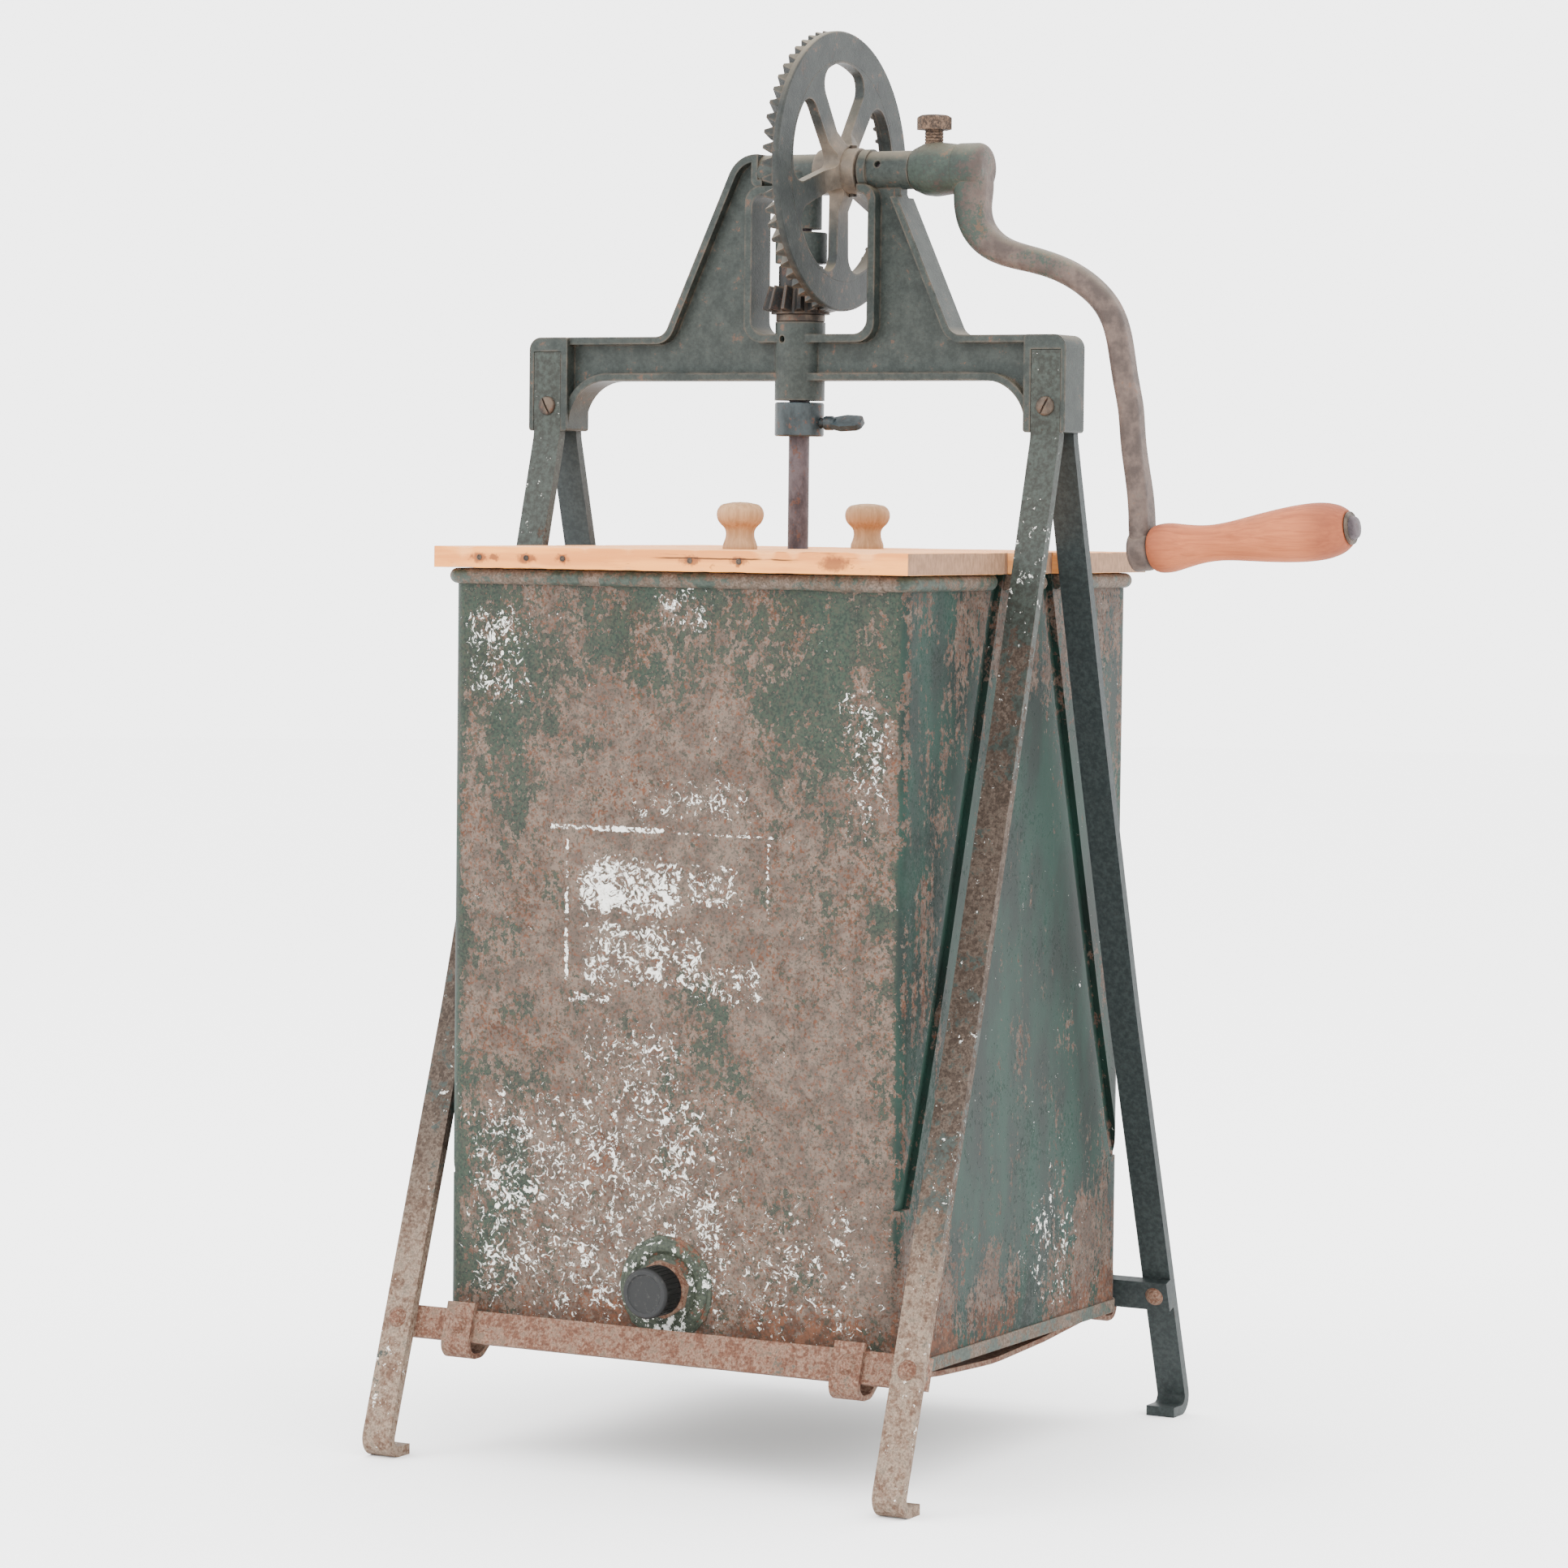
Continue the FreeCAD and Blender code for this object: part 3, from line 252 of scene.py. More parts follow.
# %% The finish
class Finish:
    """A material in the making."""

    def __init__(self, name):
        self.material = bpy.data.materials.new(name)
        self.material.use_nodes = True
        tree = self.material.node_tree
        self.shader = tree.nodes["Principled BSDF"]
        spot = tree.nodes.new("ShaderNodeTexCoord")
        spot = Wire(tree, spot.outputs["Object"])
        self.place = spot.add("VectorMath", {0: spot, 1: (-AXIS_X, 0.0, 0.0)}, operation="ADD")
        self.facing = Wire(tree, spot.socket.node.outputs["Normal"])
        self.x, self.y, self.z = self.split(self.place)
        self.tree = tree

    def split(self, vector):
        parts = self.place.add("SeparateXYZ", {0: vector})
        outs = parts.socket.node.outputs
        return [Wire(self.place.tree, outs[k]) for k in range(3)]

    def moved(self, stretch=(1, 1, 1), shift=(0, 0, 0)):
        longer = self.place.add("VectorMath", {0: self.place, 1: stretch}, operation="MULTIPLY")
        return self.place.add("VectorMath", {0: longer, 1: shift}, operation="ADD")

    def noise(
        self, millimetres, detail=3.0, rough=0.55, stretch=(1, 1, 1), shift=(0, 0, 0), twist=0.0
    ):
        """Soft noise around 0.5 whose lumps are about this many millimetres across."""
        return self.place.add(
            "TexNoise",
            {
                "Vector": self.moved(stretch, shift),
                "Scale": 1000.0 / millimetres,
                "Detail": detail,
                "Roughness": rough,
                "Distortion": twist,
            },
        )

    def mix(self, mask, under, over):
        """over shows where the mask is 1."""
        return self.place.add("Mix", {0: mask, 6: under, 7: over}, out=2, data_type="RGBA")

    def dulled(self, colour, amount, low=0.75, high=1.2):
        """A colour made darker and lighter by a 0-1 value."""
        shade = low + (high - low) * amount
        grey = self.place.add("CombineColor", {0: shade, 1: shade, 2: shade})
        return self.place.add(
            "Mix", {0: 1.0, 6: colour, 7: grey}, out=2, data_type="RGBA", blend_type="MULTIPLY"
        )

    def edges(self, millimetres):
        """1 along sharp edges, found with the Bevel node's rounded normal."""
        rounded = self.place.add("Bevel", {"Radius": millimetres / 1000.0}, samples=4)
        true = self.place.add("NewGeometry", {}, out=1)
        agree = self.place.add("VectorMath", {0: rounded, 1: true}, out=1, operation="DOT_PRODUCT")
        return agree.step(0.985, 0.80)

    def done(self, colour, rough, height=None, depth_mm=0.3, metal=None):
        """Wires the colour, roughness and bump, and returns the material."""
        goals = {"Base Color": colour, "Roughness": rough}
        if metal is not None:
            goals["Metallic"] = metal
        if height is not None:
            goals["Normal"] = self.place.add(
                "Bump", {"Height": height, "Strength": 1.0, "Distance": depth_mm / 1000.0}
            )
        for name, value in goals.items():
            if isinstance(value, Wire):
                self.tree.links.new(value.socket, self.shader.inputs[name])
            else:
                self.shader.inputs[name].default_value = value
        self.shader.inputs["Specular IOR Level"].default_value = GLOSS
        return self.material


def coat(material, *names):
    """Puts one finish on CAD nodes or on pieces."""
    for name in names:
        thing = bpy.data.objects[name] if isinstance(name, str) else name
        thing.data.materials.clear()
        thing.data.materials.append(material)


floor_finish = Finish("pale_floor")
floor_shade = floor_finish.noise(400.0, 2.0)
coat(
    floor_finish.done(floor_finish.dulled(tone(252, 252, 252, 1.0), floor_shade, 0.99, 1.0), 0.9),
    floor,
)

# %% [markdown]
# ## Paint on the can
#
# The can was dipped in dark green enamel over a pink-grey primer. The front, which was wiped and
# scrubbed, has lost most of its green, while the side still has large sheets of it. Under both,
# rust comes through as small orange spots. A pale paper label left a patch of white paste in the
# middle, and lime from wet floors left white flecks low down. We paint it in that order: primer,
# rust, green, white.

# %% Colours of the worn can
PRIMER = tone(124, 105, 93)
PRIMER_PALE = tone(154, 133, 118)
RUST_BROWN = tone(104, 68, 50)
RUST_ORANGE = tone(150, 92, 62)
GREEN = tone(33, 80, 67)
GREEN_DEEP = tone(26, 52, 46)
LIME_WHITE = tone(232, 232, 226, 0.80)
DUST = tone(170, 156, 132)

# %% The can's finish
can = Finish("worn_green_can")
x, y, z = can.x, can.y, can.z
on_front = (-y).step(0.1495, 0.1520)
on_right = x.step(0.1470, 0.1515)

wide = can.noise(90.0, 4.0, 0.6, (1.0, 1.0, 0.55))
middle = can.noise(22.0, 6.0, 0.68, (1.0, 1.0, 0.75), (3.1, 0.4, 0.0))
small = can.noise(4.0, 4.0, 0.74, (1.0, 1.0, 0.8), (0.0, 5.0, 1.0))
dots = can.noise(1.7, 2.0, 0.6)
streaks = can.noise(8.0, 4.0, 0.6, (1.0, 1.0, 0.05), (0.0, 0.0, 2.0))

top_band = z.step(0.385, 0.49)
right_streak = x.inside(0.060, 0.108, 0.02) * z.inside(0.24, 0.47, 0.06)
left_edge = x.step(-0.138, -0.150) * z.step(0.06, 0.11)
front_green = 0.072 * top_band + 0.050 * right_streak + 0.10 * left_edge - 0.048
beside_leg = y.step(-0.055, -0.125) * z.step(0.46, 0.30)
side_green = 0.080 - 0.11 * z.step(0.20, 0.08) - 0.065 * z.step(0.38, 0.52) - 0.09 * beside_leg
other_green = 0.05
paint_bias = (
    other_green + on_front * (front_green - other_green) + on_right * (side_green - other_green)
)
paint_field = (
    0.34 * wide + 0.28 * middle + 0.38 * small + paint_bias
    + 0.22 * (streaks - 0.5) * (1.0 - on_front)
)
green_mask = paint_field.step(0.494, 0.516)

rust_low = z.step(0.125, 0.07)
rust_wide = can.noise(55.0, 3.0, 0.6, shift=(9.0, 2.0, 0.0))
rust_field = 0.30 * rust_wide + 0.42 * small + 0.28 * dots + 0.10 * rust_low
rust_bias = 0.03 * on_front * top_band + 0.06 * on_right * beside_leg
rust_mask = (rust_field + rust_bias).step(0.535, 0.59)
rust_rim = paint_field.inside(0.470, 0.492, 0.008) * dots.step(0.45, 0.58)

ground = can.mix(can.noise(12.0, 5.0, 0.68).step(0.42, 0.60), PRIMER, PRIMER_PALE)
ground = can.mix(dots.step(0.50, 0.60) * 0.40, ground, GREEN_DEEP)
rust_shade = can.mix(can.noise(6.0, 3.0).step(0.4, 0.62), RUST_BROWN, RUST_ORANGE)
ground = can.mix((rust_mask.most(rust_rim)) * 0.75, ground, rust_shade)
pinholes = can.noise(2.6, 4.0, 0.75, shift=(2.0, 2.0, 9.0))
ground = can.mix(pinholes.step(0.57, 0.63) * 0.75, ground, tone(140, 84, 56))
ground = can.mix(pinholes.step(0.43, 0.37) * 0.70, ground, tone(66, 74, 62))
clouds = can.noise(30.0, 4.0, 0.6, (1, 1, 0.4), (0, 0, 7.0))
green_shade = can.mix(clouds.step(0.35, 0.65), GREEN_DEEP, GREEN)
olive = can.mix(dots.step(0.40, 0.60), tone(40, 52, 43), tone(76, 90, 72))
green_shade = can.mix(on_front * 0.72, green_shade, olive)
green_shade = can.mix(small.step(0.50, 0.60) * 0.22 * on_front, green_shade, PRIMER)
painted = can.mix(green_mask * 0.96, ground, green_shade)
# Painted shade: the colour darkens towards the can's top edge, under the rim bead and the lid's
# overhang, and the whole right side is painted darker; the small noise only adds random tone.
shade_under_rim = z.step(0.532, 0.500) * 0.35 + 0.65
painted = can.dulled(painted, 0.55 * small + 0.45 * shade_under_rim - 0.50 * on_right, 0.58, 0.98)

# %% [markdown]
# The white comes last. Its flecks are one fine noise cut at a high level, so they come out as
# small broken islands. Where they gather is a sum of soft zones that lowers that level: a band
# low on the front, a few patches near the top corners, and the remains of a plain label with a
# thin ruled border. The label carries no letters.

# %% White flecks and the label's remains
specks = (
    0.80 * can.noise(5.2, 5.0, 0.70, shift=(1.0, 0.0, 4.0), twist=1.4)
    + 0.20 * can.noise(20.0, 3.0, 0.6, (1.6, 1.0, 0.8), (4.0, 0, 0))
)


def zone(x_low, x_high, z_low, z_high, soft, strength):
    """A soft-edged patch on the front wall."""
    return strength * x.inside(x_low, x_high, soft) * z.inside(z_low, z_high, soft)


# x from and to, z from and to, softness of the border, strength; metres but for the last
LIME_ZONES = [
    (-0.138, 0.050, 0.085, 0.228, 0.026, 0.112),
    (-0.060, 0.010, 0.200, 0.270, 0.016, 0.105),
    (0.045, 0.140, 0.085, 0.172, 0.022, 0.094),
    (-0.145, -0.095, 0.450, 0.515, 0.014, 0.108),
    (-0.012, 0.025, 0.498, 0.524, 0.008, 0.120),
    (0.112, 0.145, 0.385, 0.470, 0.012, 0.115),
    (-0.030, 0.055, 0.384, 0.412, 0.010, 0.090),
    (-0.064, 0.008, 0.328, 0.364, 0.009, 0.176),
    (0.008, 0.048, 0.334, 0.364, 0.008, 0.138),
    (-0.060, 0.022, 0.286, 0.326, 0.006, 0.135),
    (0.018, 0.060, 0.280, 0.305, 0.006, 0.125),
    (-0.083, -0.004, 0.3787, 0.3823, 0.0010, 0.176),
    (0.004, 0.078, 0.3785, 0.3805, 0.0008, 0.150),
    (-0.0722, -0.0694, 0.290, 0.374, 0.0010, 0.160),
    (-0.0690, -0.0400, 0.276, 0.284, 0.0030, 0.150),
    (0.0640, 0.0660, 0.330, 0.376, 0.0008, 0.120),
]
gathered = zone(*LIME_ZONES[0])
for spread in LIME_ZONES[1:]:
    gathered = gathered.most(zone(*spread))
side_lime = 0.105 * y.inside(0.02, 0.09, 0.03) * z.inside(0.09, 0.16, 0.03)
white = (specks + on_front * gathered + on_right * side_lime).step(0.664, 0.682)
white = white * on_front.most(on_right)
white_shade = can.mix(dots.step(0.45, 0.65) * 0.5, LIME_WHITE, tone(186, 182, 168, 0.7))
painted = can.mix(white * 0.94, painted, white_shade)

can_height = 0.5 * green_mask + 0.6 * white + 0.25 * small + 0.2 * dots - 0.3 * rust_mask
can_rough = 0.70 - 0.14 * green_mask + 0.15 * rust_mask + 0.10 * white
can_paint = can.done(painted, can_rough, can_height, 0.22)
coat(can_paint, "can_body")
print("can finish has", len(can.tree.nodes), "nodes")

# %% [markdown]
# ## Paint and rust on the bars, the bead and the rivets
#
# The bars, the rolled bead and the hem share one story: dark paint, worn through on the edges
# and on the wide faces, and brown rust below. What differs is how much paint is left, so one
# recipe takes the share of paint and the colours. The Bevel node finds the sharp edges, where
# paint goes first.


# %% One recipe for painted iron
def painted_iron(
    name, paint, paint_deep, rust, rust_pale, share,
    grain_mm=3.0, edge_mm=1.0, white=0.0, seed=0.0, climb=0.0,
):
    """Paint over rusty iron; share is how much is left (0 to 1), climb adds it near the top."""
    f = Finish(name)
    broad = f.noise(46.0, 4.0, 0.6, (1.0, 1.0, 0.6), (seed, 2.0, 0.0))
    mid = f.noise(11.0, 4.0, 0.65, shift=(0.0, seed, 1.0))
    fine = f.noise(grain_mm, 4.0, 0.7, shift=(0.0, 0.0, seed))
    wear = f.edges(edge_mm) * fine.step(0.30, 0.62)
    field = 0.45 * broad + 0.33 * mid + 0.22 * fine + (share - 0.5) * 0.36 - 0.10 * wear
    if climb:
        field = field + climb * f.z.step(0.42, 0.63) - 0.5 * climb * f.z.step(0.16, 0.08)
    kept = field.step(0.487, 0.522)
    iron = f.mix((0.4 * mid + 0.6 * fine).step(0.42, 0.60), rust, rust_pale)
    if climb:
        foot = (0.5 * mid + 0.5 * fine).step(0.38, 0.60)
        foot = f.mix(foot, tone(138, 104, 84), tone(198, 174, 152))
        iron = f.mix(f.z.step(0.22, 0.07) * 0.8, iron, foot)
    grain = f.noise(1.3, 3.0, 0.7, shift=(0.0, seed, seed))
    iron = f.dulled(iron, 0.5 * fine + 0.5 * grain.step(0.36, 0.64), 0.50, 1.50)
    iron = f.mix((0.5 * fine + 0.5 * mid).step(0.545, 0.60) * 0.5, iron, tone(84, 78, 66))
    cover = f.mix(fine.step(0.35, 0.68), paint_deep, paint)
    colour = f.mix(kept * 0.94, iron, cover)
    if white:
        fleck = 0.7 * f.noise(5.0, 4.0, 0.75, shift=(3, 3, seed)) + 0.3 * broad + white
        colour = f.mix(fleck.step(0.635, 0.655) * 0.8, colour, LIME_WHITE)
    pits = f.noise(1.6, 3.0, 0.65)
    height = 0.55 * kept + 0.45 * fine * (1.0 - 0.5 * kept) + 0.35 * pits
    return f.done(colour, 0.74 - 0.26 * kept + 0.10 * pits, height, 0.30)


IRON_GREEN = tone(76, 88, 82)
BAR_BROWN = tone(82, 68, 58)
BAR_PALE = tone(120, 104, 92)
RED_RUST = tone(128, 86, 67)
PINK_RUST = tone(172, 139, 118)
TAN_RUST = tone(150, 120, 98)

front_bar = painted_iron(
    "front_leg_iron", IRON_GREEN, tone(52, 56, 50), BAR_BROWN, BAR_PALE, 0.40,
    white=0.02, seed=1.0, climb=0.16,
)
back_bar = painted_iron(
    "back_leg_iron", tone(68, 80, 80), tone(50, 60, 61), BAR_BROWN, BAR_PALE, 0.92, seed=5.0
)
rusty_bar = painted_iron(
    "rusty_flat_bar", tone(98, 98, 86), tone(74, 72, 62), RED_RUST, PINK_RUST, 0.26, 2.4, seed=2.0
)
rusty_head = painted_iron(
    "rusty_round_heads", tone(84, 78, 66), tone(62, 56, 48), RED_RUST, PINK_RUST, 0.24,
    1.6, 0.6, seed=3.0,
)
bead_iron = painted_iron(
    "rolled_bead_paint", tone(84, 99, 88), tone(50, 67, 60), tone(114, 98, 84),
    tone(148, 129, 116), 0.50, 2.6, 0.8, seed=4.0,
)
drain_iron = painted_iron(
    "drain_plate_paint", tone(86, 98, 82), tone(52, 66, 56), RED_RUST, tone(150, 120, 96), 0.62,
    2.2, 0.8, 0.07, seed=6.0,
)

coat(front_bar, "leg_front_left", "leg_front_right")
coat(back_bar, "leg_back_left", "leg_back_right", "crossbar_back")
coat(rusty_bar, "crossbar_front", "strap_left", "strap_right", "drain_clamp_ring", "drain_neck")
coat(rusty_head, "leg_rivets", "strap_rivets")
tan_head = painted_iron(
    "tan_set_screw", tone(96, 84, 72), tone(70, 62, 54), BAR_BROWN, TAN_RUST, 0.16,
    1.6, 0.6, seed=7.0,
)
coat(tan_head, "crank_set_screw")
coat(bead_iron, "can_rim_bead", "can_hem_band", "can_bottom")
coat(drain_iron, "drain_plate")

# %% [markdown]
# ## Cast iron, oily steel and dust
#
# The bridge, the wheel and the crank are sand castings. Their skin keeps the grain of the mould,
# the green paint sits in the grain, and tan dust lies on every ledge that faces up. We find
# those ledges from the direction the surface faces. Hands have polished the crank to brown iron
# from its elbow to its eye, so its paint fades with height.


# %% One recipe for castings
def casting(
    name, paint, deep, iron, iron_pale, share, dust=0.6, fade=None, settled=None, seed=0.0
):
    """Sand-cast iron under paint; dust settles on what faces up."""
    f = Finish(name)
    broad = f.noise(60.0, 4.0, 0.6, shift=(seed, 0.0, 0.0))
    mid = f.noise(12.0, 4.0, 0.6, shift=(0.0, seed, 3.0))
    fine = f.noise(2.2, 4.0, 0.7, shift=(seed, seed, 0.0))
    sand = f.noise(0.9, 2.0, 0.6)
    wear = f.edges(1.6) * mid.step(0.30, 0.60)
    field = 0.40 * broad + 0.34 * mid + 0.26 * fine + (share - 0.5) * 0.36 - 0.11 * wear
    if fade is not None:
        field = field - fade(f)
    kept = field.step(0.462, 0.540)
    bare = f.dulled(f.mix(mid.step(0.36, 0.66), iron, iron_pale), fine, 0.65, 1.30)
    cover = f.mix((0.5 * mid + 0.5 * fine).step(0.36, 0.64), deep, paint)
    colour = f.mix(kept * 0.95, bare, cover)
    speck = (0.5 * f.noise(3.0, 5.0, 0.75, shift=(0.0, 0.0, seed)) + 0.5 * mid).step(0.575, 0.63)
    colour = f.mix(speck * 0.55, colour, tone(140, 96, 72))
    colour = f.mix(f.edges(2.4) * mid.step(0.34, 0.58) * 0.55, colour, tone(134, 112, 92))
    lift = f.split(f.facing)[2]
    ledge = lift.step(0.35, 0.92) * (0.35 + 0.9 * broad * mid).least(1.0) * dust
    colour = f.mix(ledge, colour, DUST)
    if settled is not None:
        colour = f.mix(settled(f) * (0.30 + 1.2 * (mid - 0.35)), colour, tone(168, 148, 128))
    height = 0.5 * fine + 0.35 * sand + 0.25 * kept + 0.3 * mid
    return f.done(colour, 0.50 + 0.16 * fine + 0.25 * ledge - 0.06 * kept, height, 0.30)


def hub_dust(f):
    """Old grease and dust on the hub and the roots of the spokes."""
    flat = f.place.add("VectorMath", {0: f.place, 1: (0.0, 1.0, 1.0)}, operation="MULTIPLY")
    off_axis = f.place.add(
        "VectorMath", {0: flat, 1: (0.0, 0.0, SHAFT_Z)}, out=1, operation="DISTANCE"
    )
    return off_axis.step(0.042, 0.016)


def crank_fade(f):
    """More bare iron from the elbow out and down."""
    return 0.16 * f.x.step(0.105, 0.150) - 0.05 * f.x.inside(0.150, 0.200, 0.02)


bridge_iron = casting(
    "green_bridge_casting", tone(74, 84, 80), tone(50, 59, 56), tone(80, 68, 58),
    tone(114, 94, 78), share=0.94, dust=0.95, seed=1.0,
)
wheel_iron = casting(
    "dark_wheel_casting", tone(58, 67, 65), tone(38, 45, 45), tone(88, 72, 62),
    tone(132, 112, 98), share=0.84, dust=1.00, settled=hub_dust, seed=2.0,
)
crank_iron = casting(
    "hand_worn_crank", tone(70, 88, 78), tone(50, 60, 55), tone(96, 82, 76),
    tone(136, 116, 106), share=0.62, dust=0.60, fade=crank_fade, seed=3.0,
)
pinion_iron = casting(
    "oily_pinion", tone(48, 52, 52), tone(28, 32, 33), tone(88, 62, 50),
    tone(112, 88, 74), share=0.60, dust=0.25, seed=4.0,
)
coat(bridge_iron, "bridge_casting", "upper_collar")
coat(wheel_iron, "bevel_wheel")
coat(crank_iron, "crank_arm")
coat(pinion_iron, "pinion")


# %% Plain steel parts
def old_steel(name, dark, pale, rough, metal, seed=0.0):
    """Turned steel that has gone brown, with fine rings and a few rust freckles."""
    f = Finish(name)
    mid = f.noise(9.0, 4.0, 0.65, (1, 1, 0.6), (seed, 0, 0))
    fine = f.noise(1.5, 3.0, 0.65)
    freckle = f.noise(4.0, 4.0, 0.7, shift=(0, seed, 0)).step(0.57, 0.66)
    colour = f.dulled(f.mix(mid.step(0.36, 0.64), dark, pale), fine, 0.7, 1.25)
    colour = f.mix(freckle * 0.6, colour, RED_RUST)
    rough = rough + 0.2 * freckle + 0.12 * fine
    height = 0.5 * fine + 0.4 * freckle
    return f.done(colour, rough, height, 0.15, metal - metal * 0.8 * freckle)


rod_steel = old_steel("brown_rod_steel", tone(84, 74, 78), tone(122, 110, 114), 0.50, 0.35)
screw_steel = old_steel("dull_screw_steel", tone(74, 66, 60), tone(124, 108, 94), 0.48, 0.45, 2.0)
dark_enamel = old_steel("blue_green_enamel", tone(50, 60, 63), tone(76, 88, 92), 0.32, 0.0, 4.0)
coat(rod_steel, "dasher_shaft", "spindle", "drive_shaft")
coat(rod_steel, "grip_spindle", "dasher_hubs", "pivot_cup")
coat(screw_steel, "lug_screws", "wheel_pin", "pinion_pin", "collar_screw")
coat(screw_steel, "thrust_washer", "dasher_hub_pins", "dasher_blade_rivets")
coat(screw_steel, "lid_front_knob_screw", "lid_back_knob_screw", "grip_washer")
coat(dark_enamel, "coupling_collar", "thumb_screw")

# %% The drain cap's hard rubber
cap = Finish("dark_hard_rubber")
cap_dust = cap.noise(3.0, 4.0, 0.7)
cap_face = (-cap.y).step(0.1770, 0.1784)
cap_colour = cap.mix(cap_face * 0.8, tone(30, 31, 31), tone(58, 59, 60))
cap_colour = cap.mix(cap_dust.step(0.55, 0.75) * 0.4, cap_colour, tone(118, 116, 110))
coat(cap.done(cap_colour, 0.42 + 0.25 * cap_dust, cap_dust, 0.06), "drain_cap")

# %% [markdown]
# ## Bare wood
#
# The lid halves are half-inch pine boards whose grain runs along the front. Grain is noise
# stretched a long way in one direction, with a slow wave added so that it wanders. The turned
# knobs and grip use the same recipe with another axis, and hands have darkened the grip's ends.


# %% One recipe for wood
def wood(name, pale, deep, along, ring_mm=3.2, dirt=0.25, extra=None, seed=0.0):
    """Wood whose grain runs along one axis (0, 1 or 2)."""
    f = Finish(name)
    stretch = [1.0, 1.0, 1.0]
    stretch[along] = 0.045
    wander = f.noise(60.0, 2.0, 0.5, tuple(stretch), (seed, 0, 0), 0.6)
    rings = f.noise(ring_mm, 3.0, 0.55, tuple(stretch), (0, seed, 0), 0.5)
    fibre_stretch = [1.0, 1.0, 1.0]
    fibre_stretch[along] = 0.02
    fibre = f.noise(0.8, 2.0, 0.6, tuple(fibre_stretch))
    stain = f.noise(38.0, 4.0, 0.6, shift=(2.0, 0, seed))
    colour = f.mix((0.55 * wander + 0.45 * rings).step(0.40, 0.66), pale, deep)
    colour = f.dulled(colour, fibre, 0.86, 1.10)
    colour = f.mix(stain.step(0.50, 0.72) * dirt, colour, tone(112, 84, 62))
    height = 0.6 * rings + 0.6 * fibre
    if extra:
        colour, height = extra(f, colour, height)
    return f.done(colour, 0.62 + 0.12 * fibre, height, 0.18)


# rust stains in the front edge: place along it and reach, in metres
EDGE_STAINS = [
    (-0.1268, 0.0042),
    (-0.1170, 0.0026),
    (-0.0943, 0.0040),
    (-0.0693, 0.0036),
    (0.0169, 0.0040),
    (0.0494, 0.0036),
    (0.1117, 0.0062),
]
LID_FRONT = 0.1635  # from the middle of the lid to its front edge
EDGE_MIDDLE = 0.5393  # height of the middle of the boards


def board_marks(f, colour, height):
    """Greyed end grain, an orange front edge, nail stains, a long split and dark scratches."""
    end = f.split(f.facing)[0].size().step(0.55, 0.80)
    front = f.y.size().step(0.1620, 0.1632)
    rays = f.noise(2.2, 3.0, 0.6, (0.0, 1.0, 0.35))
    grey = f.mix(rays.step(0.35, 0.65), tone(129, 99, 77, 1.0), tone(108, 82, 62, 1.0))
    bands = f.noise(9.0, 3.0, 0.6, (0.08, 1, 1)).step(0.4, 0.6)
    orange = f.mix(bands, tone(216, 138, 62, 1.0), tone(184, 108, 44, 1.0))
    colour = f.mix(front * 0.75, colour, orange)
    colour = f.mix(end, colour, grey)
    wave = 0.0022 * (f.noise(30.0, 3.0, 0.6) - 0.5)
    split = (f.z - 0.5408 + wave).size().step(0.00055, 0.00018)
    split = split * f.x.inside(-0.005, 0.085, 0.008) * front
    hair = f.noise(3.0, 3.0, 0.6, (0.10, 1.0, 1.6), (0.0, 0.0, 5.0)).step(0.66, 0.70) * front
    blot = f.noise(8.0, 4.0, 0.62, (0.7, 1.0, 1.0), (7.7, 0.0, 0.0)).step(0.665, 0.72) * front
    marks = (0.9 * split).most(hair * 0.35).most(blot * 0.5)
    halo = 0.0
    for spot_x, reach in EDGE_STAINS:
        centre = (0.5 * spot_x, -LID_FRONT, EDGE_MIDDLE)
        away = f.place.add(
            "VectorMath", {0: f.moved((0.5, 1, 1)), 1: centre}, out=1, operation="DISTANCE"
        )
        ragged = away + 0.0060 * (f.noise(3.0, 3.0, 0.6) - 0.5)
        halo = ragged.step(reach, 0.4 * reach).most(halo)
    colour = f.mix(halo * 0.80, colour, tone(156, 84, 50))
    colour = f.mix(marks, colour, tone(70, 44, 36))
    return colour, height - 2.5 * split - 0.6 * blot


def grip_marks(f, colour, height):
    """Darker, redder ends where hands and the end iron have stained it."""
    inner = f.x.step(0.262, 0.240)
    outer = f.x.step(0.330, 0.352)
    handled = (inner.most(outer)) * (0.35 + 0.5 * f.noise(9.0, 4.0, 0.6))
    return f.mix(handled, colour, tone(101, 50, 33, 1.0)), height


board_pine = wood(
    "lid_board_pine", tone(224, 158, 97, 1.0), tone(200, 130, 74, 1.0), 0, 3.4, 0.16, board_marks
)
plain_pine = wood(
    "cleat_pine", tone(170, 134, 92, 1.0), tone(150, 112, 73, 1.0), 1, 3.4, 0.30, seed=3.0
)
knob_wood = wood(
    "turned_knob_wood", tone(160, 126, 92, 1.0), tone(134, 101, 70, 1.0), 2, 2.2, 0.35, seed=5.0
)
grip_wood = wood(
    "hand_worn_grip_wood", tone(161, 92, 57, 1.0), tone(132, 70, 42, 1.0), 0, 2.0, 0.22,
    grip_marks, 6.0,
)
blade_wood = wood(
    "dasher_wood", tone(196, 166, 124), tone(160, 126, 88), 2, 3.0, 0.40, seed=8.0
)
coat(plain_pine, "lid_front_cleats", "lid_back_cleats")
coat(knob_wood, "lid_front_knob", "lid_back_knob")
coat(grip_wood, "grip")
coat(blade_wood, "dasher_arms", "dasher_blades")

# %% [markdown]
# ## Lid boards with worn edges
#
# Real boards lose their corners: every knock rounds an edge a little and takes a chip out of it.
# A plain box with straight edges looks new. So each board is copied from its CAD node, its loose
# triangles are merged, and it is cut into short lengths with the bisect operator. Its edges get
# a small bevel, and then we knock it about: at each seeded spot one vertex is pushed inwards and
# proportional editing takes its neighbours along.


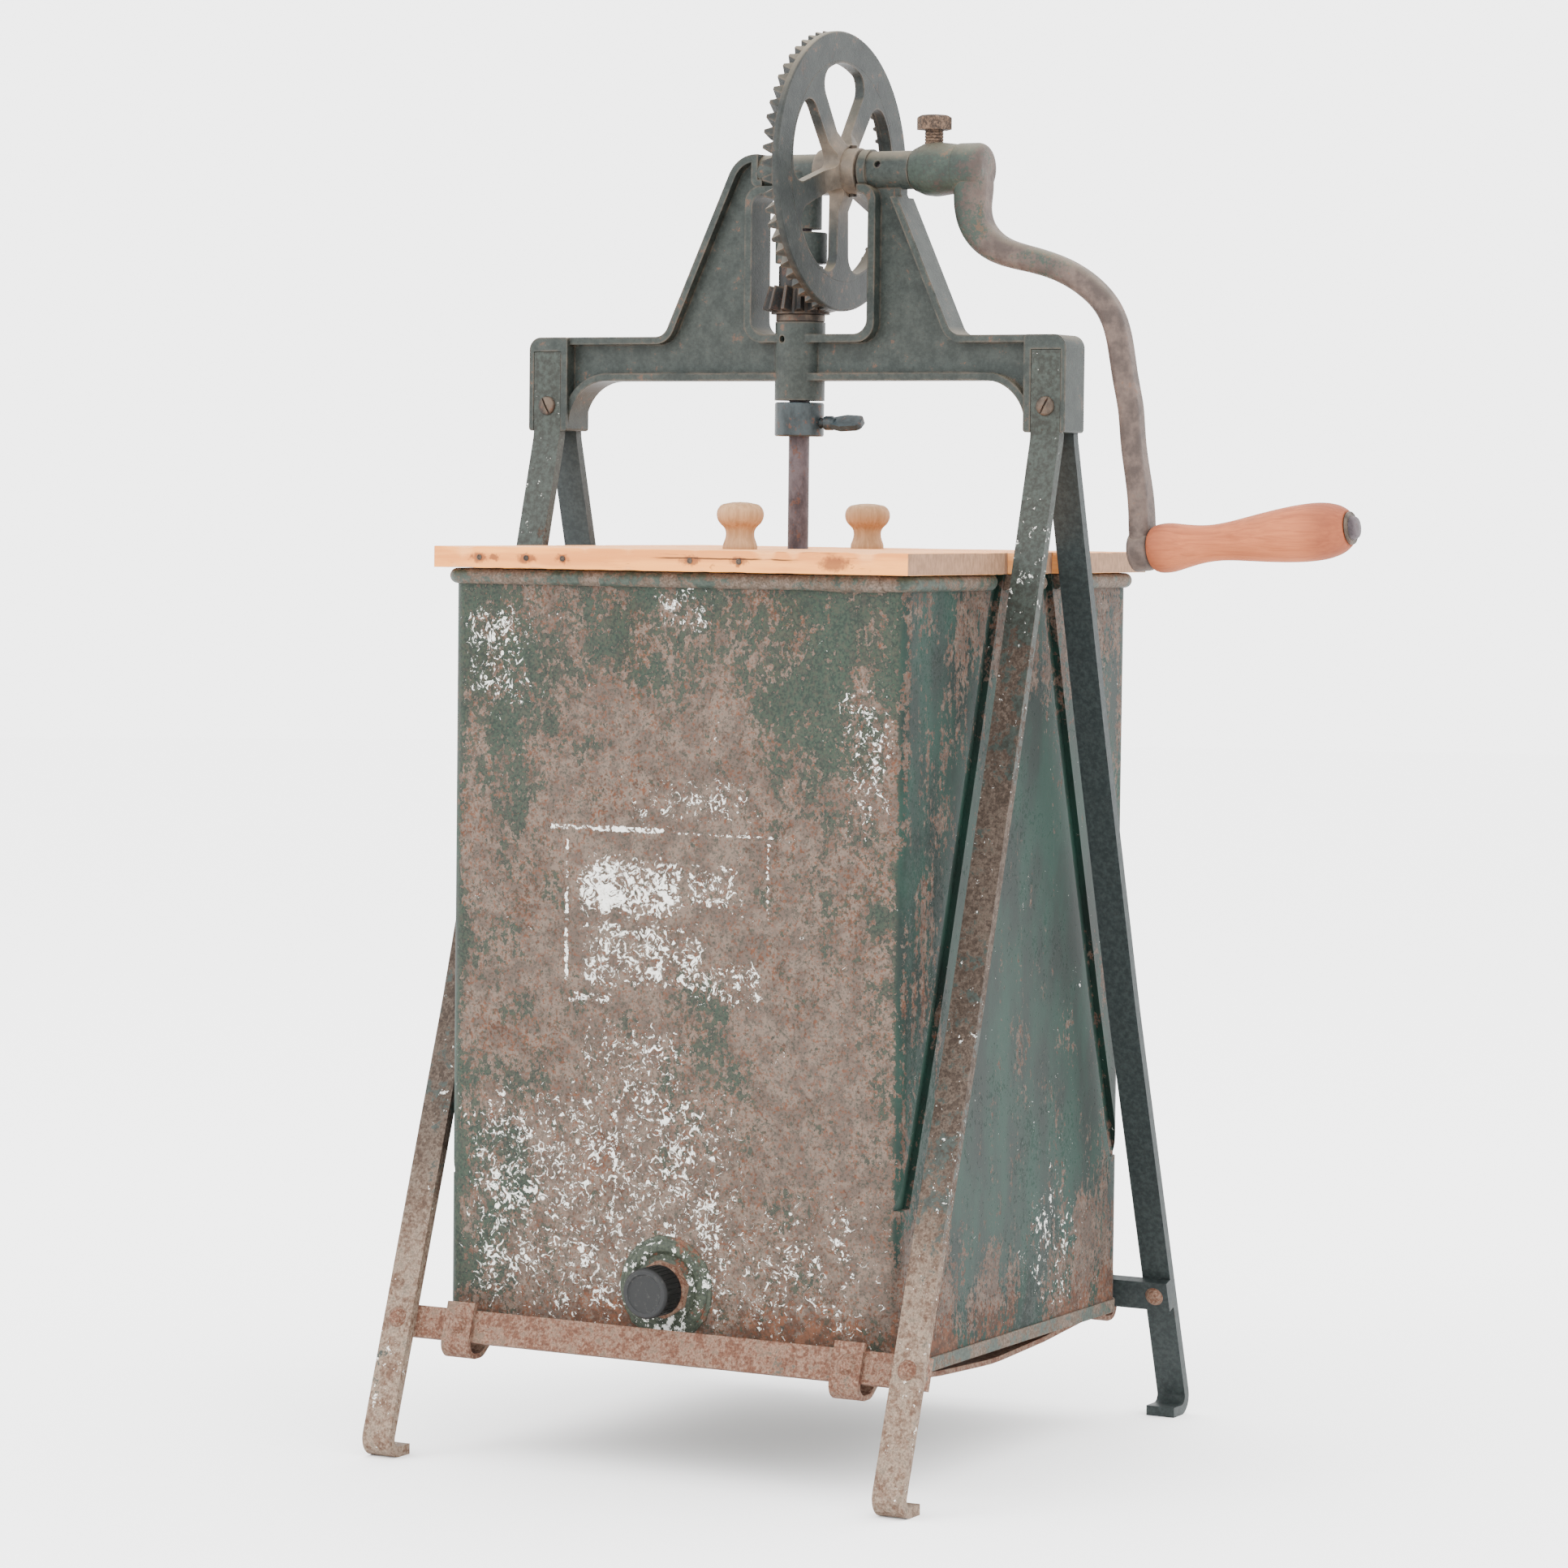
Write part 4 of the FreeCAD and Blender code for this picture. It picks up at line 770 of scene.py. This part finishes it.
# %% Selecting as by hand
def take_up(thing):
    """Makes one object the only selected and the active one."""
    bpy.ops.object.select_all(action="DESELECT")
    thing.select_set(True)
    bpy.context.view_layer.objects.active = thing


def choose(thing, kind, test):
    """In edit mode, selects the vertices, edges or faces that pass a test."""
    bpy.ops.mesh.select_mode(type=kind)
    bpy.ops.mesh.select_all(action="DESELECT")
    bpy.ops.object.mode_set(mode="OBJECT")
    mesh = thing.data
    parts = {"VERT": mesh.vertices, "EDGE": mesh.edges, "FACE": mesh.polygons}[kind]
    chosen = 0
    for part in parts:
        part.select = bool(test(part))
        chosen += part.select
    bpy.ops.object.mode_set(mode="EDIT")
    return chosen


def knock(thing, spot, push, reach):
    """Pushes the vertex nearest a spot, and its neighbours with it."""
    vertices = thing.data.vertices
    nearest = min(range(len(vertices)), key=lambda k: (vertices[k].co - spot).length_squared)
    choose(thing, "VERT", lambda vertex: vertex.index == nearest)
    bpy.ops.transform.translate(
        value=push,
        use_proportional_edit=True,
        proportional_edit_falloff="SMOOTH",
        proportional_size=reach,
    )


# %% The two boards
BOARD_SLICES = 64  # lengths that each board is cut into along its grain
BOARD_KNOCKS = 34


def worn_board(node, name, body, outward):
    """A lid half copied from its CAD node, with softened and chipped edges."""
    low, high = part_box(node)
    take_up(nodes[node])
    bpy.ops.object.duplicate()
    board = bpy.context.object
    board.name = name
    bpy.ops.object.parent_clear(type="CLEAR_KEEP_TRANSFORM")
    bpy.ops.mesh.customdata_custom_splitnormals_clear()
    bpy.ops.object.mode_set(mode="EDIT")
    bpy.ops.mesh.select_all(action="SELECT")
    bpy.ops.mesh.remove_doubles(threshold=0.00001)
    bpy.ops.mesh.dissolve_limited(angle_limit=math.radians(1.0))
    edge_y = high.y if outward > 0 else low.y
    cuts = [
        ((low.x + k * (high.x - low.x) / BOARD_SLICES, 0, 0), (1, 0, 0))
        for k in range(1, BOARD_SLICES)
    ]
    cuts += [((0, edge_y - outward * k * 0.011, 0), (0, 1, 0)) for k in range(1, 14)]
    cuts += [((0, 0, low.z + 0.0042), (0, 0, 1)), ((0, 0, low.z + 0.0085), (0, 0, 1))]
    for spot, facing in cuts:
        bpy.ops.mesh.select_all(action="SELECT")
        bpy.ops.mesh.bisect(plane_co=spot, plane_no=facing)
    sides = [(0, low.x), (0, high.x), (1, edge_y)]
    levels = (low.z, high.z)

    def on_rim(edge):
        ends = [board.data.vertices[k].co for k in edge.vertices]
        on_side = any(all(abs(e[axis] - value) < 1e-5 for e in ends) for axis, value in sides)
        on_level = any(all(abs(e.z - value) < 1e-5 for e in ends) for value in levels)
        return on_side and on_level

    choose(board, "EDGE", on_rim)
    bpy.ops.mesh.bevel(offset=0.0007, segments=2, affect="EDGES")
    for k in range(BOARD_KNOCKS):
        share = noise.random()
        level = levels[k % 2]
        depth = 0.0004 + 0.0011 * noise.random() ** 2
        if k % 5 == 4:
            side = low.x if k % 10 == 4 else high.x
            spot = Vector((side, edge_y - outward * share * 0.15, level))
            inward = math.copysign(depth, AXIS_X - side)
            push = (inward, 0, math.copysign(0.5 * depth, EDGE_MIDDLE - level))
        else:
            spot = Vector((low.x + share * (high.x - low.x), edge_y, level))
            push = (0, -outward * depth, math.copysign(0.6 * depth, EDGE_MIDDLE - level))
        knock(board, spot, push, 0.004 + 0.008 * noise.random())
    bpy.ops.object.mode_set(mode="OBJECT")
    bpy.ops.object.shade_smooth_by_angle(angle=math.radians(40))
    coat(board_pine, board)
    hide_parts(node)
    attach(board, body)
    return board


BOARD_SEED = 41
noise.seed_set(BOARD_SEED)
front_board = worn_board("lid_front_board", "worn_front_board", "lid_front", -1)
back_board = worn_board("lid_back_board", "worn_back_board", "lid_back", 1)
print("front board:", len(front_board.data.polygons), "faces")
print("back board:", len(back_board.data.polygons), "faces")

# %% [markdown]
# The front half is nailed to its cleats through the edge. The heads are small flat discs with a
# sunken middle, driven until they sit flush. One is modelled, and the rest are copies of it, each
# with its own mesh, joined into one piece.


# %% Nail heads in the front edge
def nail_head(along):
    """A flat round head, 3.4 mm across, whose face is inset and pressed in."""
    bpy.ops.object.select_all(action="DESELECT")
    bpy.ops.mesh.primitive_cylinder_add(
        vertices=18, radius=0.0017, depth=0.0030,
        location=(AXIS_X + along, -LID_FRONT + 0.0011, EDGE_MIDDLE), rotation=(math.pi / 2, 0, 0),
    )
    head = bpy.context.object
    bpy.ops.object.transform_apply(location=True, rotation=True, scale=True)
    bpy.ops.object.mode_set(mode="EDIT")
    choose(head, "FACE", lambda face: face.normal.y < -0.9)
    bpy.ops.mesh.inset(thickness=0.0004, depth=0.0)
    bpy.ops.mesh.inset(thickness=0.0002, depth=-0.0004)
    choose(head, "FACE", lambda face: face.normal.y > 0.9)
    bpy.ops.mesh.inset(thickness=0.0006, depth=0.0)
    bpy.ops.object.mode_set(mode="OBJECT")
    return head


heads = [nail_head(along) for along, reach in EDGE_STAINS if reach > 0.003 and along < 0.1]
bpy.ops.object.select_all(action="DESELECT")
for head in heads:
    head.select_set(True)
bpy.context.view_layer.objects.active = heads[0]
bpy.ops.object.join()
front_nails = bpy.context.object
front_nails.name = "front_edge_nails"
take_up(front_nails)
bpy.ops.object.origin_set(type="ORIGIN_CURSOR")
bpy.ops.object.transform_apply(location=True, rotation=True, scale=True)
bpy.ops.object.shade_smooth_by_angle(angle=math.radians(35))
coat(screw_steel, front_nails)
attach(front_nails, "lid_front")
print("nails:", len(heads), "at", tuple(round(v, 4) for v in front_nails.location))

# %% [markdown]
# ## Where the rolled rim is lapped
#
# The rim is a strip rolled over a wire. Its ends meet near the front right corner, where the
# upper one is drawn over the lower one and cut off at a slant. We add a cylinder a little fatter
# than the bead, cut both its ends with slanted bisects, and pinch it with two knocks.

# %% The lap on the rim
BEAD_Z = 0.5280
BEAD_Y = -0.1528
bpy.ops.object.select_all(action="DESELECT")
bpy.ops.mesh.primitive_cylinder_add(
    vertices=40, radius=0.0052, depth=0.060,
    location=(AXIS_X + 0.118, BEAD_Y, BEAD_Z), rotation=(0, math.pi / 2, 0),
)
rim_lap = bpy.context.object
rim_lap.name = "rim_bead_lap"
bpy.ops.object.transform_apply(location=True, rotation=True, scale=True)
bpy.ops.object.mode_set(mode="EDIT")
for cut_x, slant, side in ((0.0985, 0.9, -1), (0.1385, 0.35, 1)):
    bpy.ops.mesh.select_all(action="SELECT")
    bpy.ops.mesh.bisect(
        plane_co=(AXIS_X + cut_x, BEAD_Y, BEAD_Z), plane_no=(side, 0, side * slant),
        use_fill=True, clear_outer=True,
    )
for k in range(1, 12):
    bpy.ops.mesh.select_all(action="SELECT")
    bpy.ops.mesh.bisect(plane_co=(AXIS_X + 0.094 + 0.004 * k, BEAD_Y, BEAD_Z), plane_no=(1, 0, 0))
choose(rim_lap, "FACE", lambda face: abs(face.normal.x) > 0.3)
bpy.ops.mesh.bevel(offset=0.0004, segments=2, affect="EDGES")
knock(rim_lap, Vector((AXIS_X + 0.110, BEAD_Y - 0.005, BEAD_Z)), (0, 0.0006, 0), 0.006)
knock(rim_lap, Vector((AXIS_X + 0.128, BEAD_Y - 0.003, BEAD_Z - 0.004)), (0, 0.0003, 0.0006), 0.005)
bpy.ops.mesh.select_all(action="SELECT")
bpy.ops.mesh.normals_make_consistent(inside=False)
bpy.ops.object.mode_set(mode="OBJECT")
bpy.ops.object.shade_smooth_by_angle(angle=math.radians(35))
coat(bead_iron, rim_lap)
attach(rim_lap, "stand")
print("rim lap:", len(rim_lap.data.polygons), "faces")

# %% [markdown]
# ## Solder round the drain
#
# The drain's pressed plate is soldered to the can, and the solder stands as a low, uneven bead
# round it. A torus is pressed flat towards the wall and knocked in and out at seeded places.

# %% The solder bead
SOLDER_KNOCKS = 26
bpy.ops.object.select_all(action="DESELECT")
bpy.ops.mesh.primitive_torus_add(
    major_segments=90, minor_segments=12, major_radius=0.0290, minor_radius=0.0021,
    location=(AXIS_X, WALL_Y, DRAIN_Z), rotation=(math.pi / 2, 0, 0),
)
solder = bpy.context.object
solder.name = "drain_solder_bead"
bpy.ops.object.transform_apply(location=True, rotation=True, scale=True)
bpy.ops.object.mode_set(mode="EDIT")
bpy.ops.mesh.select_all(action="SELECT")
bpy.ops.transform.resize(value=(1, 0.62, 1), center_override=(AXIS_X, WALL_Y, DRAIN_Z))
for k in range(SOLDER_KNOCKS):
    turn = 2 * math.pi * (k + noise.random()) / SOLDER_KNOCKS
    outward = Vector((math.cos(turn), 0, math.sin(turn)))
    spot = Vector((AXIS_X, WALL_Y - 0.001, DRAIN_Z)) + 0.0298 * outward
    knock(solder, spot, tuple(outward * (0.0020 * noise.random() - 0.0006)), 0.0035)
bpy.ops.object.mode_set(mode="OBJECT")
bpy.ops.object.shade_smooth()
coat(drain_iron, solder)
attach(solder, "stand")
print("solder bead:", len(solder.data.polygons), "faces")

# %% [markdown]
# ## Last measures
#
# The finished churn must be exactly as large as its CAD model. The CAD model's box was taken when
# it was loaded; last, we list any shown CAD node that has no finish.

# %% Look for parts without a finish
bare = [name for name, thing in nodes.items() if not thing.hide_render and not thing.data.materials]
print("nodes without a finish:", bare)
